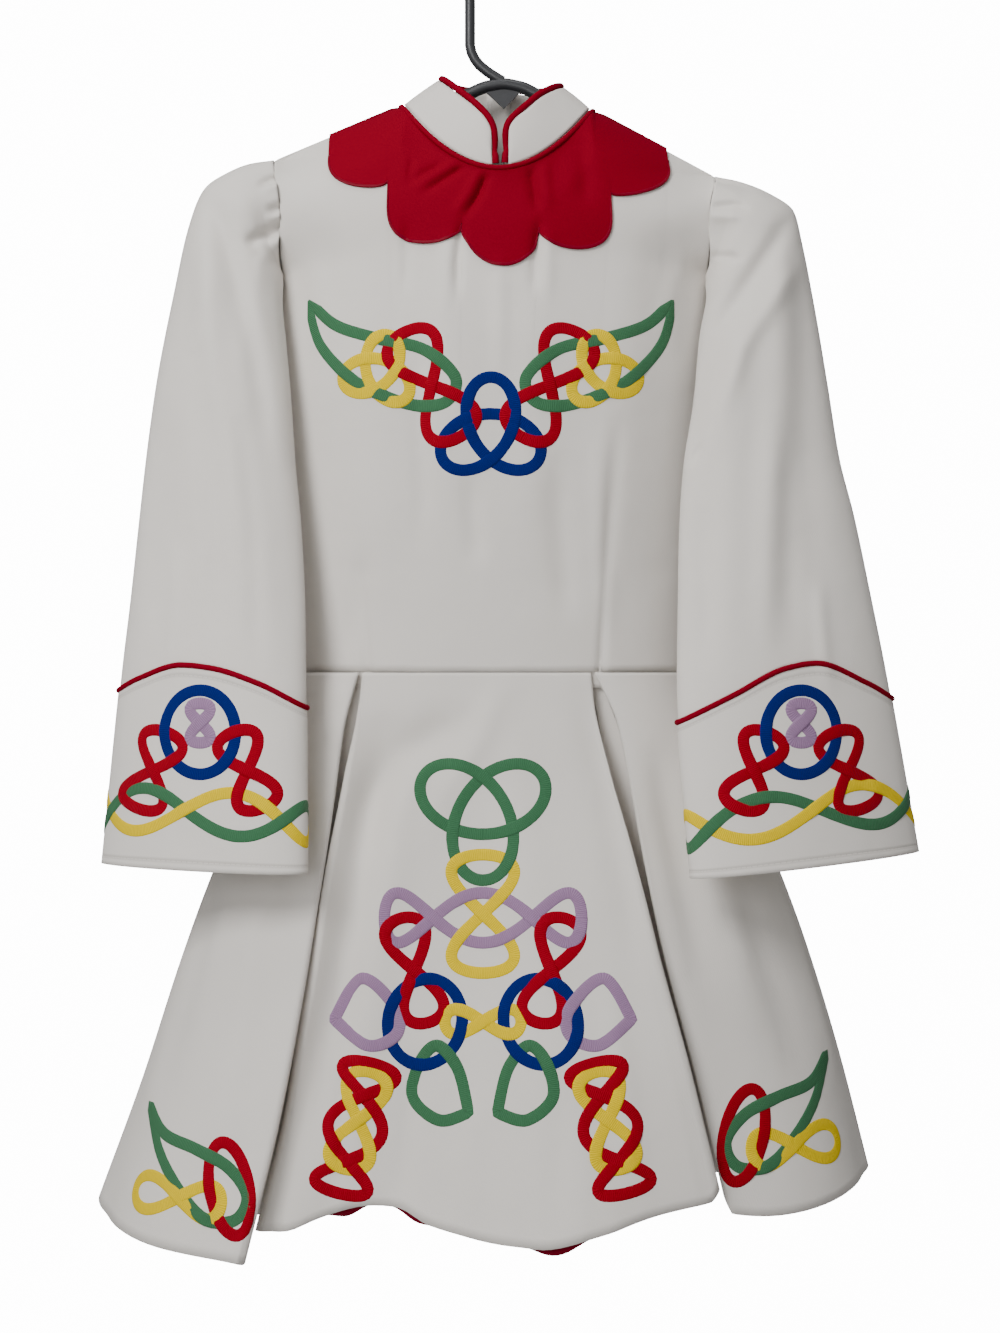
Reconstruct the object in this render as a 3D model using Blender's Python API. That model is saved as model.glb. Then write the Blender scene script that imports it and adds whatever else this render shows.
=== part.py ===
"""Irish dance dress, centre-back zipped, hanging on a plain hanger.

Metres in Blender, Z up, the wearer's front faces -Y. The origin is the inner top of
the hanger's hook. The tables are in millimetres, and "down" is the height below the
origin. Every panel is a grid of points on the garment's outer face. Rows run down,
columns run counter-clockwise seen from above, and a closed wall is made from them.
"""

import bisect
import math

import bmesh
import bpy
from mathutils import Vector

MM = 0.001
WALL = 1.6  # face cloth with its lining
TRIM = 1.2  # yoke and zip tape
GAP = 0.3  # air between neighbours
PULL = 0.2  # how far each panel edge stops short of its seam line
WAIST = 554.0


def table(columns, *lines):
    return [dict(zip(columns.split(), line)) for line in lines]


# ---- bodice ------------------------------------------------------------------------
BODICE = table(
    "down left right front back seam_y",
    (160, -172.5, 167.0, 34, 30, 0),
    (180, -170.0, 164.0, 39, 33, 1),
    (205, -165.5, 158.0, 43, 35, 3),
    (247, -167.2, 159.0, 47, 38, 6),
    (264, -168.0, 159.4, 48, 39, 7),
    (310, -165.5, 156.6, 50, 40, 9),
    (400, -160.5, 150.5, 48, 39, 11),
    (480, -155.5, 145.5, 44, 37, 11),
    (WAIST, -151.5, 141.0, 42, 36, 8),
)
NECK = dict(left_x=-74.5, left_down=124.6, right_x=70.0, right_down=127.8)
NECK_DROP = {-1: 53.5, 1: 24.0}  # below the neck's side points, front and back
NECK_DEPTH = {-1: 40.0, 1: 30.0}
TIP = dict(left_x=-172.5, left_down=165.7, right_x=164.2, right_down=178.0)
UNDERARM = 247.0
ARMHOLE_DEPTH = 25.0
SHOULDER_ROUND = 45.0
# Five scallops: each ends at x, down, and hangs below the line between its ends.
LOBE_START = (-129.0, 165.0)
LOBES = table(
    "x down hang",
    (-83.5, 189, 15),
    (-28.3, 221, 33),
    (29.3, 225, 30),
    (82.5, 198, 31),
    (126.5, 168, 17),
)
LOBE_CELLS = 6
SHOULDER_CELLS = 3
YOKE_ROWS = 3
BODY_ROWS = 8
NECK_COLUMNS = (10, 26)
NECK_ROOM = 2.4
# Where each named column starts on the top edge and ends on the waist seam.
COLUMN_TOP = {0: -172.5, 3: -129, 9: -84, 10: -74.5, 15: -27, 18: -1, 21: 26, 26: 70,
              27: 80, 33: 126, 36: 164.2}
COLUMN_WAIST = {0: -151.5, 5: -98.5, 18: -8, 29: 74.6, 36: 141}
DARTS = table("column depth top", (5, 2.2, 427), (29, 2.4, 376))
# Soft upright folds: a ridge of depth at x, leaning by lean for each mm down.
FRONT_FOLDS = table(
    "x lean width depth start end",
    (-118, 0.10, 22, 3.0, 190, 520),
    (-38, 0.02, 20, 2.4, 230, 440),
    (28, -0.03, 18, 2.2, 250, 500),
    (104, -0.08, 22, 3.2, 200, 520),
)
BACK_FOLDS = table(
    "x lean width depth start end",
    (-96, 0.08, 24, 2.6, 200, 500),
    (88, -0.06, 24, 2.8, 200, 510),
)

# ---- collar ------------------------------------------------------------------------
# The top edge by the angle round the neck, from centre front to centre back.
COLLAR_LEFT = table(
    "angle x y down",
    (0, -5.8, -37.5, 164),
    (6, -6.6, -38.5, 151.5),
    (13, -10.8, -38.0, 142.3),
    (25, -19.6, -35.0, 132.6),
    (46, -34.0, -26.0, 119.5),
    (68, -43.5, -14.4, 110),
    (90, -47.5, 0.0, 105),
    (120, -42.0, 12.0, 105),
    (150, -25.0, 20.0, 107),
    (180, -3.4, 23.0, 108),
)
COLLAR_RIGHT = table(
    "angle x y down",
    (0, 6.2, -37.5, 163),
    (6, 6.6, -38.5, 151.5),
    (13, 9.8, -38.0, 144),
    (25, 20.5, -35.0, 134.6),
    (42, 31.2, -28.0, 123.8),
    (70, 45.0, -13.0, 114),
    (90, 49.5, 0.0, 110.8),
    (120, 42.0, 12.0, 109.5),
    (150, 24.0, 20.0, 108.5),
    (180, 3.4, 23.0, 108),
)
COLLAR_ROWS = 3
PIPING = 1.6  # radius of the red piping

# ---- sleeves and cuffs -------------------------------------------------------------
SLEEVE_COLUMNS = "at outer_x outer_down inner_x inner_down outer_y inner_y front back"
SLEEVE_LEFT = table(
    SLEEVE_COLUMNS,
    (0.00, -174.0, 165.5, -170.0, 249, 0, 5, 25, 24),
    (0.04, -190.5, 168.5, -170.8, 252, 0, 2, 29, 26),
    (0.08, -206.0, 175.0, -170.4, 256, -1, -2, 31, 27),
    (0.13, -224.5, 188.0, -168.5, 262, -2, -6, 31, 26),
    (0.19, -236.5, 219.0, -165.2, 273, -4, -12, 30, 24),
    (0.27, -246.3, 264.5, -161.7, 298, -6, -19, 29, 22),
    (0.38, -259.3, 333.0, -156.5, 348, -9, -27, 28, 20),
    (0.47, -266.5, 387.0, -152.6, 398, -12, -33, 27, 19),
    (0.56, -272.0, 440.0, -147.5, 448, -15, -40, 27, 18),
    (0.66, -277.8, 500.0, -143.8, 507, -19, -50, 28, 18),
    (0.745, -283.2, 549.0, -142.3, 559, -22, -61, 29, 18),
    (1.00, -297.5, 696.8, -139.5, 699.5, -26, -86, 32, 18),
)
SLEEVE_RIGHT = table(
    SLEEVE_COLUMNS,
    (0.00, 165.7, 177.8, 161.6, 249, 0, 5, 25, 24),
    (0.04, 184.0, 182.5, 162.4, 252, 0, 2, 29, 26),
    (0.08, 204.0, 191.0, 162.0, 256, -1, -2, 31, 27),
    (0.13, 223.0, 205.0, 160.0, 262, -2, -6, 31, 26),
    (0.19, 229.0, 229.0, 156.6, 273, -4, -12, 30, 24),
    (0.27, 238.0, 276.0, 150.3, 300, -6, -19, 29, 22),
    (0.38, 247.6, 336.0, 144.7, 352, -9, -27, 28, 20),
    (0.47, 256.5, 394.0, 136.6, 402, -12, -33, 27, 19),
    (0.56, 266.5, 435.0, 133.0, 449, -15, -40, 27, 18),
    (0.66, 279.3, 499.0, 131.1, 511, -19, -50, 28, 18),
    (0.745, 289.4, 552.0, 129.8, 565, -22, -61, 29, 18),
    (1.00, 312.8, 688.0, 137.8, 703.0, -26, -86, 32, 18),
)
# The cuff seam across the front, from the outer edge (0) to the inner edge (1).
CUFF_SEAM = table(
    "across left right",
    (0.00, 568.0, 573.0),
    (0.12, 559.0, 562.0),
    (0.35, 549.0, 548.5),
    (0.50, 551.0, 552.0),
    (0.75, 561.5, 570.2),
    (1.00, 579.4, 589.6),
)
CUFF_STEP = 0.9  # how far the cuff stands out from the sleeve
SLEEVE_CELLS = 28
SLEEVE_STATIONS = (0, 0.04, 0.085, 0.14, 0.21, 0.3, 0.4, 0.5, 0.6, 0.68)
GATHERS = 3  # soft gathers across each half of a sleeve head
SLEEVE_FOLDS = table(  # diagonal folds: where round, turn, width, depth, from, to
    "round turn width depth start end",
    (0.17, 0.16, 0.050, 4.5, 0.12, 0.74),
    (0.31, 0.05, 0.045, 3.5, 0.20, 0.80),
    (0.66, 0.10, 0.050, 4.0, 0.15, 0.70),
    (0.83, -0.08, 0.050, 3.5, 0.22, 0.78),
)

# ---- skirt -------------------------------------------------------------------------
# By the fraction of its length: side seams, pleat mouths, and how deep each line lies.
SKIRT = table(
    "at left right mouth_l mouth_r side_y front back gore_l gore_r centre_l centre_r half",
    (0.00, -151.5, 141, -104, 69, 8, 42, 36, 33, 37, 33, 37, 92),
    (0.10, -170, 160, -111.5, 80.5, 9, 45, 40, 38, 40, 37, 42, 99),
    (0.25, -197, 189, -121, 93.5, 11, 50, 48, 49, 47, 45, 53, 110.5),
    (0.40, -223, 214, -131, 105.8, 13, 60, 56, 62, 55, 54, 66, 122),
    (0.55, -245, 235, -140.5, 118, 15, 71, 66, 75, 62, 61, 77, 134),
    (0.77, -274, 260.5, -157, 139.5, 18, 88, 82, 93, 72, 70, 92, 151),
    (1.00, -308, 283, -180, 160, 20, 108, 98, 110, 84, 80, 100, 172),
)
BACK_SEAM = -8.0  # the centre-back seam, with the back pleats half a width beside it
PLEAT = table(  # half gaps of the mouths, depth, half width inside, radius of the folds
    "at mouth_l mouth_r deep wide round",
    (0.0, 1.2, 1.2, 9, 4, 2.4),
    (0.1, 4.4, 6.6, 15, 8, 2.8),
    (0.2, 3.4, 5.6, 22, 12, 3.2),
    (0.35, 2.2, 3.2, 31, 17, 3.9),
    (0.5, 1.9, 2.0, 38, 22, 4.5),
    (1.0, 1.8, 1.8, 56, 32, 6.5),
)
SKIRT_ROWS = 8
# Hem heights along each panel, from its first to its last edge.
HEMS = {
    "gore_left": ((0, 945), (0.14, 950), (0.5, 956), (0.7, 971), (0.86, 977), (1, 965)),
    "centre_front": ((0, 950), (0.1, 960), (0.2, 960), (0.33, 940), (0.37, 940.5),
                     (0.42, 952), (0.5, 960.5), (0.575, 962.5), (0.65, 954), (0.74, 941),
                     (0.82, 934), (0.9, 926), (1, 924)),
    "gore_right": ((0, 924), (0.12, 934), (0.2, 946), (0.27, 950), (0.5, 932), (0.86, 946),
                   (1, 938)),
    "back_right": ((0, 940), (0.2, 946), (0.6, 958), (1, 950)),
    "back_left": ((0, 950), (0.4, 944), (0.8, 956), (1, 946)),
    "underlay_front_left": ((0, 965), (1, 950)),
    "underlay_front_right": ((0, 924), (1, 924)),
    "underlay_back_right": ((0, 938), (1, 940)),
    "underlay_back_left": ((0, 946), (1, 945)),
}
# Waves of the centre panel: ridge at a fraction across it, growing to depth at the hem.
CENTRE_WAVES = table("across width depth", (0.24, 0.16, -16), (0.70, 0.20, 15))
BACK_WAVES = table("across width depth", (0.35, 0.16, -12), (0.72, 0.16, 10))
LINING_HEIGHT = 34.0
LINING_PEEKS = table("across width below", (0.19, 0.04, 3.4), (0.33, 0.04, 3.0), (0.66, 0.06, 3.4))

# ---- zip ---------------------------------------------------------------------------
ZIP_GAP = 3.2  # half the opening between the back edges
ZIP_IN_SKIRT = 3  # rows of the skirt that the zip runs into
CHAIN = dict(half=2.3, thick=1.5)
# The slider's plate lies on the back, with an arch over the tab's pin.
SLIDER = dict(width=7.6, height=10.0, thick=2.0, arch_width=2.0, leg=0.7, room=1.0)
TAB = dict(width=4.8, length=20.0, thick=1.1, window=2.8, window_width=2.8)

# ---- hanger ------------------------------------------------------------------------
WIRE = 4.0  # radius of the hook
HOOK_BEND = 22.8  # radius of the hook's centre line
STEM_END = 78.0
ARM = 4.6
ARM_PATH = ((-160, 178), (-118, 157.5), (-74.5, 139), (-30, 118), (-12, 109.5),
            (3.5, 107), (18, 110), (32, 117.5), (70, 141), (112, 163), (152, 187))
WEB = ((-16, 113), (20, 113), (3, 126))


# ---- tools -------------------------------------------------------------------------
def clamp(value, low=0.0, high=1.0):
    return max(low, min(high, value))


def mix(a, b, t):
    return a + (b - a) * t


def bell(distance, width):
    return math.exp(-((distance / width) ** 2))


def ease(value, start, end):
    t = clamp((value - start) / (end - start))
    return t * t * (3 - 2 * t)


def smooth(keys, values, at):
    """A curve through the values, which never runs past them."""
    at = clamp(at, keys[0], keys[-1])
    i = min(max(bisect.bisect_right(keys, at) - 1, 0), len(keys) - 2)
    rise = [(values[k + 1] - values[k]) / (keys[k + 1] - keys[k]) for k in range(len(keys) - 1)]

    def slope(k):
        if k in (0, len(rise)):
            return rise[min(k, len(rise) - 1)]
        return 0 if rise[k - 1] * rise[k] <= 0 else 2 / (1 / rise[k - 1] + 1 / rise[k])

    span = keys[i + 1] - keys[i]
    t = (at - keys[i]) / span
    return (
        values[i] * (2 * t**3 - 3 * t**2 + 1)
        + values[i + 1] * (3 * t**2 - 2 * t**3)
        + span * slope(i) * (t**3 - 2 * t**2 + t)
        + span * slope(i + 1) * (t**3 - t**2)
    )


def read(rows, key, at, *columns):
    """The named columns at one value of the key column."""
    keys = [row[key] for row in rows]
    found = [smooth(keys, [row[column] for row in rows], at) for column in columns]
    return found[0] if len(found) == 1 else found


def straight(knots, at):
    """A straight line between the knots of a dictionary."""
    keys = sorted(knots)
    i = min(max(bisect.bisect_right(keys, at) - 1, 0), len(keys) - 2)
    return mix(knots[keys[i]], knots[keys[i + 1]], (at - keys[i]) / (keys[i + 1] - keys[i]))


def spot(x, y, down):
    return Vector((x, y, -down))


def key_of(point):
    return tuple(round(c, 2) for c in point)


def normals_of(*grids, closed=False):
    """Outward normals by point, shared where grids meet, so that their walls mitre."""
    total = {}
    for grid in grids:
        count = len(grid[0])
        for upper, lower in zip(grid, grid[1:]):
            for j in range(count if closed else count - 1):
                k = (j + 1) % count
                a, b, c, d = upper[j], upper[k], lower[k], lower[j]
                face = (d - b).cross(c - a)
                for point in (a, b, c, d):
                    total[key_of(point)] = total.get(key_of(point), Vector()) + face
    return total


def pulled(grid, left=0.0, right=0.0, top=0.0, bottom=0.0):
    """The grid with its edges moved in along the cloth."""
    grid = [list(row) for row in grid]
    for row in grid:
        row[0] = row[0] + (row[1] - row[0]).normalized() * left
        row[-1] = row[-1] + (row[-2] - row[-1]).normalized() * right
    for j in range(len(grid[0])):
        grid[0][j] = grid[0][j] + (grid[1][j] - grid[0][j]).normalized() * top
        grid[-1][j] = grid[-1][j] + (grid[-2][j] - grid[-1][j]).normalized() * bottom
    return grid


def make_object(name, mesh, finish):
    bmesh.ops.recalc_face_normals(mesh, faces=mesh.faces)
    data = bpy.data.meshes.new(name)
    mesh.to_mesh(data)
    mesh.free()
    data.materials.append(finish)
    data.shade_smooth()
    data.set_sharp_from_angle(angle=math.radians(50))
    obj = bpy.data.objects.new(name, data)
    bpy.context.scene.collection.objects.link(obj)
    return obj


def cloth(name, grid, normals, finish, wall=WALL, lift=0.0, closed=False, **pull):
    """A closed wall whose outer face is the grid moved out by lift."""
    out = [[normals[key_of(p)].normalized() for p in row] for row in grid]
    points = grid if closed and not pull else pulled(grid, **pull)
    mesh = bmesh.new()

    def layer(height):
        return [
            [mesh.verts.new((p + n * height) * MM) for p, n in zip(prow, nrow)]
            for prow, nrow in zip(points, out)
        ]

    outer, inner = layer(lift), layer(lift - wall)
    count = len(grid[0])
    across = range(count if closed else count - 1)
    for i in range(len(grid) - 1):
        for j in across:
            k = (j + 1) % count
            mesh.faces.new((outer[i][j], outer[i + 1][j], outer[i + 1][k], outer[i][k]))
            mesh.faces.new((inner[i][j], inner[i][k], inner[i + 1][k], inner[i + 1][j]))
    for j in across:
        k = (j + 1) % count
        mesh.faces.new((outer[0][j], outer[0][k], inner[0][k], inner[0][j]))
        mesh.faces.new((outer[-1][j], inner[-1][j], inner[-1][k], outer[-1][k]))
    if not closed:
        for i in range(len(grid) - 1):
            mesh.faces.new((outer[i][0], inner[i][0], inner[i + 1][0], outer[i + 1][0]))
            mesh.faces.new((outer[i][-1], outer[i + 1][-1], inner[i + 1][-1], inner[i][-1]))
    return make_object(name, mesh, finish)


def sweep(name, path, radius, finish, outward, sides=6, closed=False):
    """A round cord along the path. outward(point) is never along the cord."""
    mesh = bmesh.new()
    rings = []
    last = len(path) - 1
    for i, point in enumerate(path):
        before = path[i - 1] if i or closed else point
        after = path[(i + 1) % len(path)] if i < last or closed else point
        ahead = (after - before).normalized()
        side = ahead.cross(outward(point)).normalized()
        up = side.cross(ahead)
        turns = [2 * math.pi * k / sides for k in range(sides)]
        rings.append(
            [mesh.verts.new((point + (up * math.cos(t) + side * math.sin(t)) * radius) * MM)
             for t in turns]
        )
    pairs = list(zip(rings, rings[1:] + rings[:1])) if closed else list(zip(rings, rings[1:]))
    for a, b in pairs:
        for k in range(sides):
            m = (k + 1) % sides
            mesh.faces.new((a[k], a[m], b[m], b[k]))
    if not closed:
        mesh.faces.new(rings[0])
        mesh.faces.new(rings[-1])
    return make_object(name, mesh, finish)


def block(name, low, high, finish, helper=False):
    """A box between two corners in millimetres. A helper is only a Boolean's tool."""
    mesh = bmesh.new()
    bmesh.ops.create_cube(mesh, size=1)
    for vert in mesh.verts:
        vert.co = Vector([mix(low[i], high[i], vert.co[i] + 0.5) * MM for i in range(3)])
    obj = make_object(name, mesh, finish)
    if helper:
        obj.hide_render = True
        obj.display_type = "WIRE"
    return obj


def combine(obj, tool, operation):
    step = obj.modifiers.new(tool.name, "BOOLEAN")
    step.operation = operation
    step.object = tool


def paint(name, colour, roughness, metallic=0.0):
    finish = bpy.data.materials.new(name)
    finish.use_nodes = True
    shader = finish.node_tree.nodes["Principled BSDF"]
    shader.inputs["Base Color"].default_value = (*colour, 1)
    shader.inputs["Roughness"].default_value = roughness
    shader.inputs["Metallic"].default_value = metallic
    finish.diffuse_color = (*colour, 1)
    return finish


# ---- bodice ------------------------------------------------------------------------
def edges_at(down):
    return read(BODICE, "down", down, "left", "right")


def top_edge(x, face):
    """Height of the shoulder seams and the neck, seen from the front."""
    n = NECK
    if x < n["left_x"]:
        t = (n["left_x"] - x) / (n["left_x"] - TIP["left_x"])
        return mix(n["left_down"], TIP["left_down"], t)
    if x > n["right_x"]:
        t = (x - n["right_x"]) / (TIP["right_x"] - n["right_x"])
        return mix(n["right_down"], TIP["right_down"], t)
    t = (x - n["left_x"]) / (n["right_x"] - n["left_x"])
    return mix(n["left_down"], n["right_down"], t) + NECK_DROP[face] * 4 * t * (1 - t)


def neck_y(x, face):
    middle = (NECK["left_x"] + NECK["right_x"]) / 2
    half = (NECK["right_x"] - NECK["left_x"]) / 2
    t = clamp(abs(x - middle) / half)
    return face * NECK_DEPTH[face] * math.sqrt(1 - t * t)


def body_y(x, down, face):
    """How far forward or back the bodice lies at x and down; face is -1 or 1."""
    left, right, seam_y, depth = read(
        BODICE, "down", down, "left", "right", "seam_y", "front" if face < 0 else "back"
    )
    s = clamp((2 * x - left - right) / (right - left), -1, 1)
    tip = TIP["left_down"] if s < 0 else TIP["right_down"]
    t = clamp((down - tip) / (UNDERARM - tip))
    hole = 2 * math.sqrt(t * (1 - t))
    edge = seam_y + face * (ARMHOLE_DEPTH - 1.5) * hole
    bend = 0.62 + 0.4 * hole
    if 0 < t < 1:
        bend = max(bend, 0.8)
    rounded = (1 - abs(s) ** 2.2) ** bend
    drop = max(down - top_edge(x, face), 0)
    lift = math.sin(math.pi / 2 * min(1, drop / SHOULDER_ROUND)) ** 0.8
    full = mix(neck_y(x, face), face * depth, lift)
    folds = 0
    for fold in FRONT_FOLDS if face < 0 else BACK_FOLDS:
        middle = fold["x"] + fold["lean"] * (down - fold["start"])
        fade = ease(down, fold["start"], fold["start"] + 60) * (
            1 - ease(down, fold["end"] - 90, fold["end"])
        )
        folds += fold["depth"] * bell(x - middle, fold["width"]) * fade
    return edge + (full - edge) * rounded + face * folds * (1 - abs(s) ** 4)


def columns_of():
    """Each column's x and height on the top edge, the scallop line and the waist."""
    columns = []
    first = LOBE_START
    scallop = []
    for i in range(SHOULDER_CELLS):
        x = mix(TIP["left_x"], LOBE_START[0], i / SHOULDER_CELLS)
        scallop.append((x, top_edge(x, -1) + 17.5))
    for lobe in LOBES:
        last = (lobe["x"], lobe["down"])
        for i in range(LOBE_CELLS):
            turn = math.pi * i / LOBE_CELLS
            t = (1 - math.cos(turn)) / 2
            scallop.append(
                (mix(first[0], last[0], t),
                 mix(first[1], last[1], t) + lobe["hang"] * math.sin(turn))
            )
        first = last
    for i in range(SHOULDER_CELLS + 1):
        x = mix(first[0], TIP["right_x"], i / SHOULDER_CELLS)
        scallop.append((x, top_edge(x, -1) + 17.5))
    for i, line in enumerate(scallop):
        columns.append((straight(COLUMN_TOP, i), line, straight(COLUMN_WAIST, i)))
    return columns


def dart_y(i, down):
    """Each dart is a trough along one column, deepest at the waist."""
    return sum(d["depth"] * ease(down, d["top"], WAIST) for d in DARTS if d["column"] == i)


def neck_room(i, x, face):
    """The panels stop short of the neck seam, more where it is steep, for its piping."""
    first, last = NECK_COLUMNS
    if not first <= i <= last:
        return 0
    width = NECK["right_x"] - NECK["left_x"]
    slope = NECK_DROP[face] * 4 * (1 - 2 * (x - NECK["left_x"]) / width) / width
    return NECK_ROOM * math.hypot(1, slope)


def bodice_grid(face):
    """Rows from the top edge to the scallop line, then to the waist."""
    columns = columns_of()
    grid = []
    for row in range(YOKE_ROWS + BODY_ROWS + 1):
        line = []
        for i, (top_x, scallop, waist_x) in enumerate(columns):
            top = (top_x, top_edge(top_x, face) + neck_room(i, top_x, face))
            lobe = (scallop[0], max(scallop[1], top[1] + 12))
            if row <= YOKE_ROWS:
                a, b, t = top, lobe, row / YOKE_ROWS
            else:
                a, b, t = lobe, (waist_x, WAIST), (row - YOKE_ROWS) / BODY_ROWS
            down = mix(a[1], b[1], t)
            x = mix(a[0], b[0], t)
            left, right = edges_at(down)
            if i == 0:
                x = left
            elif i == len(columns) - 1:
                x = right
            x = clamp(x, left, right)
            line.append(spot(x, body_y(x, down, face) - face * dart_y(i, down), down))
        grid.append(line)
    return grid


def bodice_and_yoke(white, red):
    front, back = bodice_grid(-1), [line[::-1] for line in bodice_grid(1)]
    normals = normals_of(front, back)
    middle = (len(front[0]) - 1) // 2
    first, last = SHOULDER_CELLS, len(front[0]) - 1 - SHOULDER_CELLS
    cloth("bodice_front", front, normals, white, left=PULL, right=PULL, top=PULL, bottom=PULL)
    edge = dict(top=PULL, bottom=PULL)
    right_back = [line[: middle + 1] for line in back]
    left_back = [line[middle:] for line in back]
    cloth("bodice_back_right", right_back, normals, white, left=PULL, right=ZIP_GAP, **edge)
    cloth("bodice_back_left", left_back, normals, white, left=ZIP_GAP, right=PULL, **edge)
    yokes = {
        "yoke_front": [line[first : last + 1] for line in front],
        "yoke_back_right": [line[first : middle + 1] for line in back],
        "yoke_back_left": [line[middle : last + 1] for line in back],
    }
    for name, grid in yokes.items():
        sides = dict(left=PULL, right=PULL)
        if name == "yoke_back_right":
            sides["right"] = ZIP_GAP
        if name == "yoke_back_left":
            sides["left"] = ZIP_GAP
        cloth(name, grid[: YOKE_ROWS + 1], normals, red, wall=TRIM, lift=0.5 + TRIM,
              top=PULL, **sides)
    return back, middle


# ---- collar ------------------------------------------------------------------------
def neck_spot(angle, side):
    """A point of the neck seam. The angle runs from centre front to centre back."""
    turn = math.radians(angle)
    middle = (NECK["left_x"] + NECK["right_x"]) / 2
    half = (NECK["right_x"] - NECK["left_x"]) / 2
    x = middle + side * half * math.sin(turn)
    face = -1 if angle < 90 else 1
    return spot(x, neck_y(x, face), top_edge(x, face))


def collar_grid(rows, side):
    """From the neck seam (last row) up to the top edge (first row)."""
    angles = [0, 5, 14, 25, 38, 52, 68, 90, 112, 132, 152, 168, 180]
    middle = (NECK["left_x"] + NECK["right_x"]) / 2
    half = (NECK["right_x"] - NECK["left_x"]) / 2
    front = math.degrees(math.asin(side * (rows[0]["x"] - middle) / half))
    grid = []
    for i in range(COLLAR_ROWS + 1):
        line = []
        for angle in angles:
            top = spot(*read(rows, "angle", angle, "x", "y", "down"))
            base = neck_spot(angle + front * max(0, 1 - angle / 90), side)
            if angle == 180:
                base.x = side * ZIP_GAP - 1.0
            up = (top - base).normalized()
            line.append((base + up * 2.6).lerp(top, 1 - i / COLLAR_ROWS))
        grid.append(line)
    return grid if side > 0 else [line[::-1] for line in grid]


def away_from_neck(point):
    return Vector((point.x, point.y + 6, 0)).normalized()


def collar(white, red):
    for name, rows, side in (("left", COLLAR_LEFT, -1), ("right", COLLAR_RIGHT, 1)):
        grid = collar_grid(rows, side)
        normals = normals_of(grid)
        cloth("collar_" + name, grid, normals, white)
        lines = grid if side > 0 else [line[::-1] for line in grid]
        edge = [line[0] for line in lines[:0:-1]] + lines[0]
        inward = [line[1] for line in lines[:0:-1]] + lines[1]
        inward[len(lines) - 1] = lines[1][1]
        path = []
        for i, (point, inner) in enumerate(zip(edge, inward)):
            along = edge[min(i + 1, len(edge) - 1)] - edge[max(i - 1, 0)]
            away = along.cross(normals[key_of(point)]).normalized()
            if away.dot(point - inner) < 0:
                away = -away
            middle = normals[key_of(point)].normalized() * (-WALL / 2)
            path.append(point + away * (PIPING + GAP + 0.15) + middle)
        path[0] = path[0].lerp(path[1], 0.2)
        sweep("collar_piping_" + name, path, PIPING, red, away_from_neck)
    path = [neck_spot(a, 1) for a in range(174, 0, -12)] + [
        neck_spot(a, -1) for a in range(0, 175, 12)
    ]
    path = [p + away_from_neck(p) * 0.3 + Vector((0, 0, 0.2)) for p in path]
    sweep("neck_piping", path, 1.2, red, away_from_neck)


# ---- sleeves -----------------------------------------------------------------------
def gathers(turn, at):
    """Soft ridges that fade down from the armhole seam."""
    fade = (1 - ease(at, 0.0, 0.13)) * abs(math.sin(turn))
    return 1.6 * math.sin(2 * GATHERS * turn) * fade


def sleeve_spot(rows, side, turn, at, out=0.0):
    """A point at a turn round the sleeve; the turn is 0 outside, pi at the inner edge."""
    ox, od, ix, idn, oy, iy, front, back = read(
        rows, "at", at, *SLEEVE_COLUMNS.split()[1:]
    )
    across = (1 - math.cos(turn)) / 2
    swell = gathers(turn, at) + out
    for fold in SLEEVE_FOLDS:
        where = (turn / (2 * math.pi) - fold["round"] - fold["turn"] * (at - fold["start"])) % 1
        where = min(where, 1 - where)
        fade = ease(at, fold["start"], fold["start"] + 0.15) * (
            1 - ease(at, fold["end"] - 0.2, fold["end"])
        )
        swell += fold["depth"] * bell(where, fold["width"]) * fade
    sin = math.sin(turn)
    depth = -front * sin if sin > 0 else -back * sin
    x, down = mix(ox, ix, across), mix(od, idn, across)
    y = mix(oy, iy, across) + depth
    outer = math.cos(turn) * out
    return spot(x + side * outer, y - swell * sin, down)


def seam_at(rows, turn, side):
    """Where along the sleeve the cuff seam crosses this turn."""
    across = (1 - math.cos(turn)) / 2
    column = "left" if side < 0 else "right"
    down = read(CUFF_SEAM, "across", across, column)
    if math.sin(turn) < 0:
        flat = mix(CUFF_SEAM[0][column], CUFF_SEAM[-1][column], across)
        down = flat - 9 * math.sin(turn) * math.sin(turn)
    last, before = rows[-1], rows[-2]
    high = mix(before["outer_down"], before["inner_down"], across)
    low = mix(last["outer_down"], last["inner_down"], across)
    return mix(before["at"], 1, (down - high) / (low - high))


def sleeve(name, rows, side, white, red):
    turns = [2 * math.pi * k / SLEEVE_CELLS for k in range(SLEEVE_CELLS)]
    if side > 0:
        turns = [math.pi - t for t in turns]
    turns = [t % (2 * math.pi) for t in turns]
    gap = 0.014  # half the piping's room, as a fraction of the sleeve
    seams = [seam_at(rows, t, side) for t in turns]
    grid = []
    for at in SLEEVE_STATIONS:
        grid.append([sleeve_spot(rows, side, t, at) for t in turns])
    grid.append([sleeve_spot(rows, side, t, s - gap * 0.45) for t, s in zip(turns, seams)])
    cloth("sleeve_" + name, grid, normals_of(grid, closed=True), white, closed=True)
    cuff = []
    for k in range(4):
        ats = [mix(s + gap * 0.45, 1, k / 3) for s in seams]
        cuff.append([sleeve_spot(rows, side, t, a, CUFF_STEP) for t, a in zip(turns, ats)])
    cloth("cuff_" + name, cuff, normals_of(cuff, closed=True), white, closed=True)
    path = [sleeve_spot(rows, side, t, s, 1.4) for t, s in zip(turns, seams)]
    centre = sum(path, Vector()) / len(path)

    def outward(point):
        return Vector((point.x - centre.x, (point.y - centre.y) * 2, 0)).normalized()

    sweep("cuff_piping_" + name, path, PIPING, red, outward, sides=6, closed=True)


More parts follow.
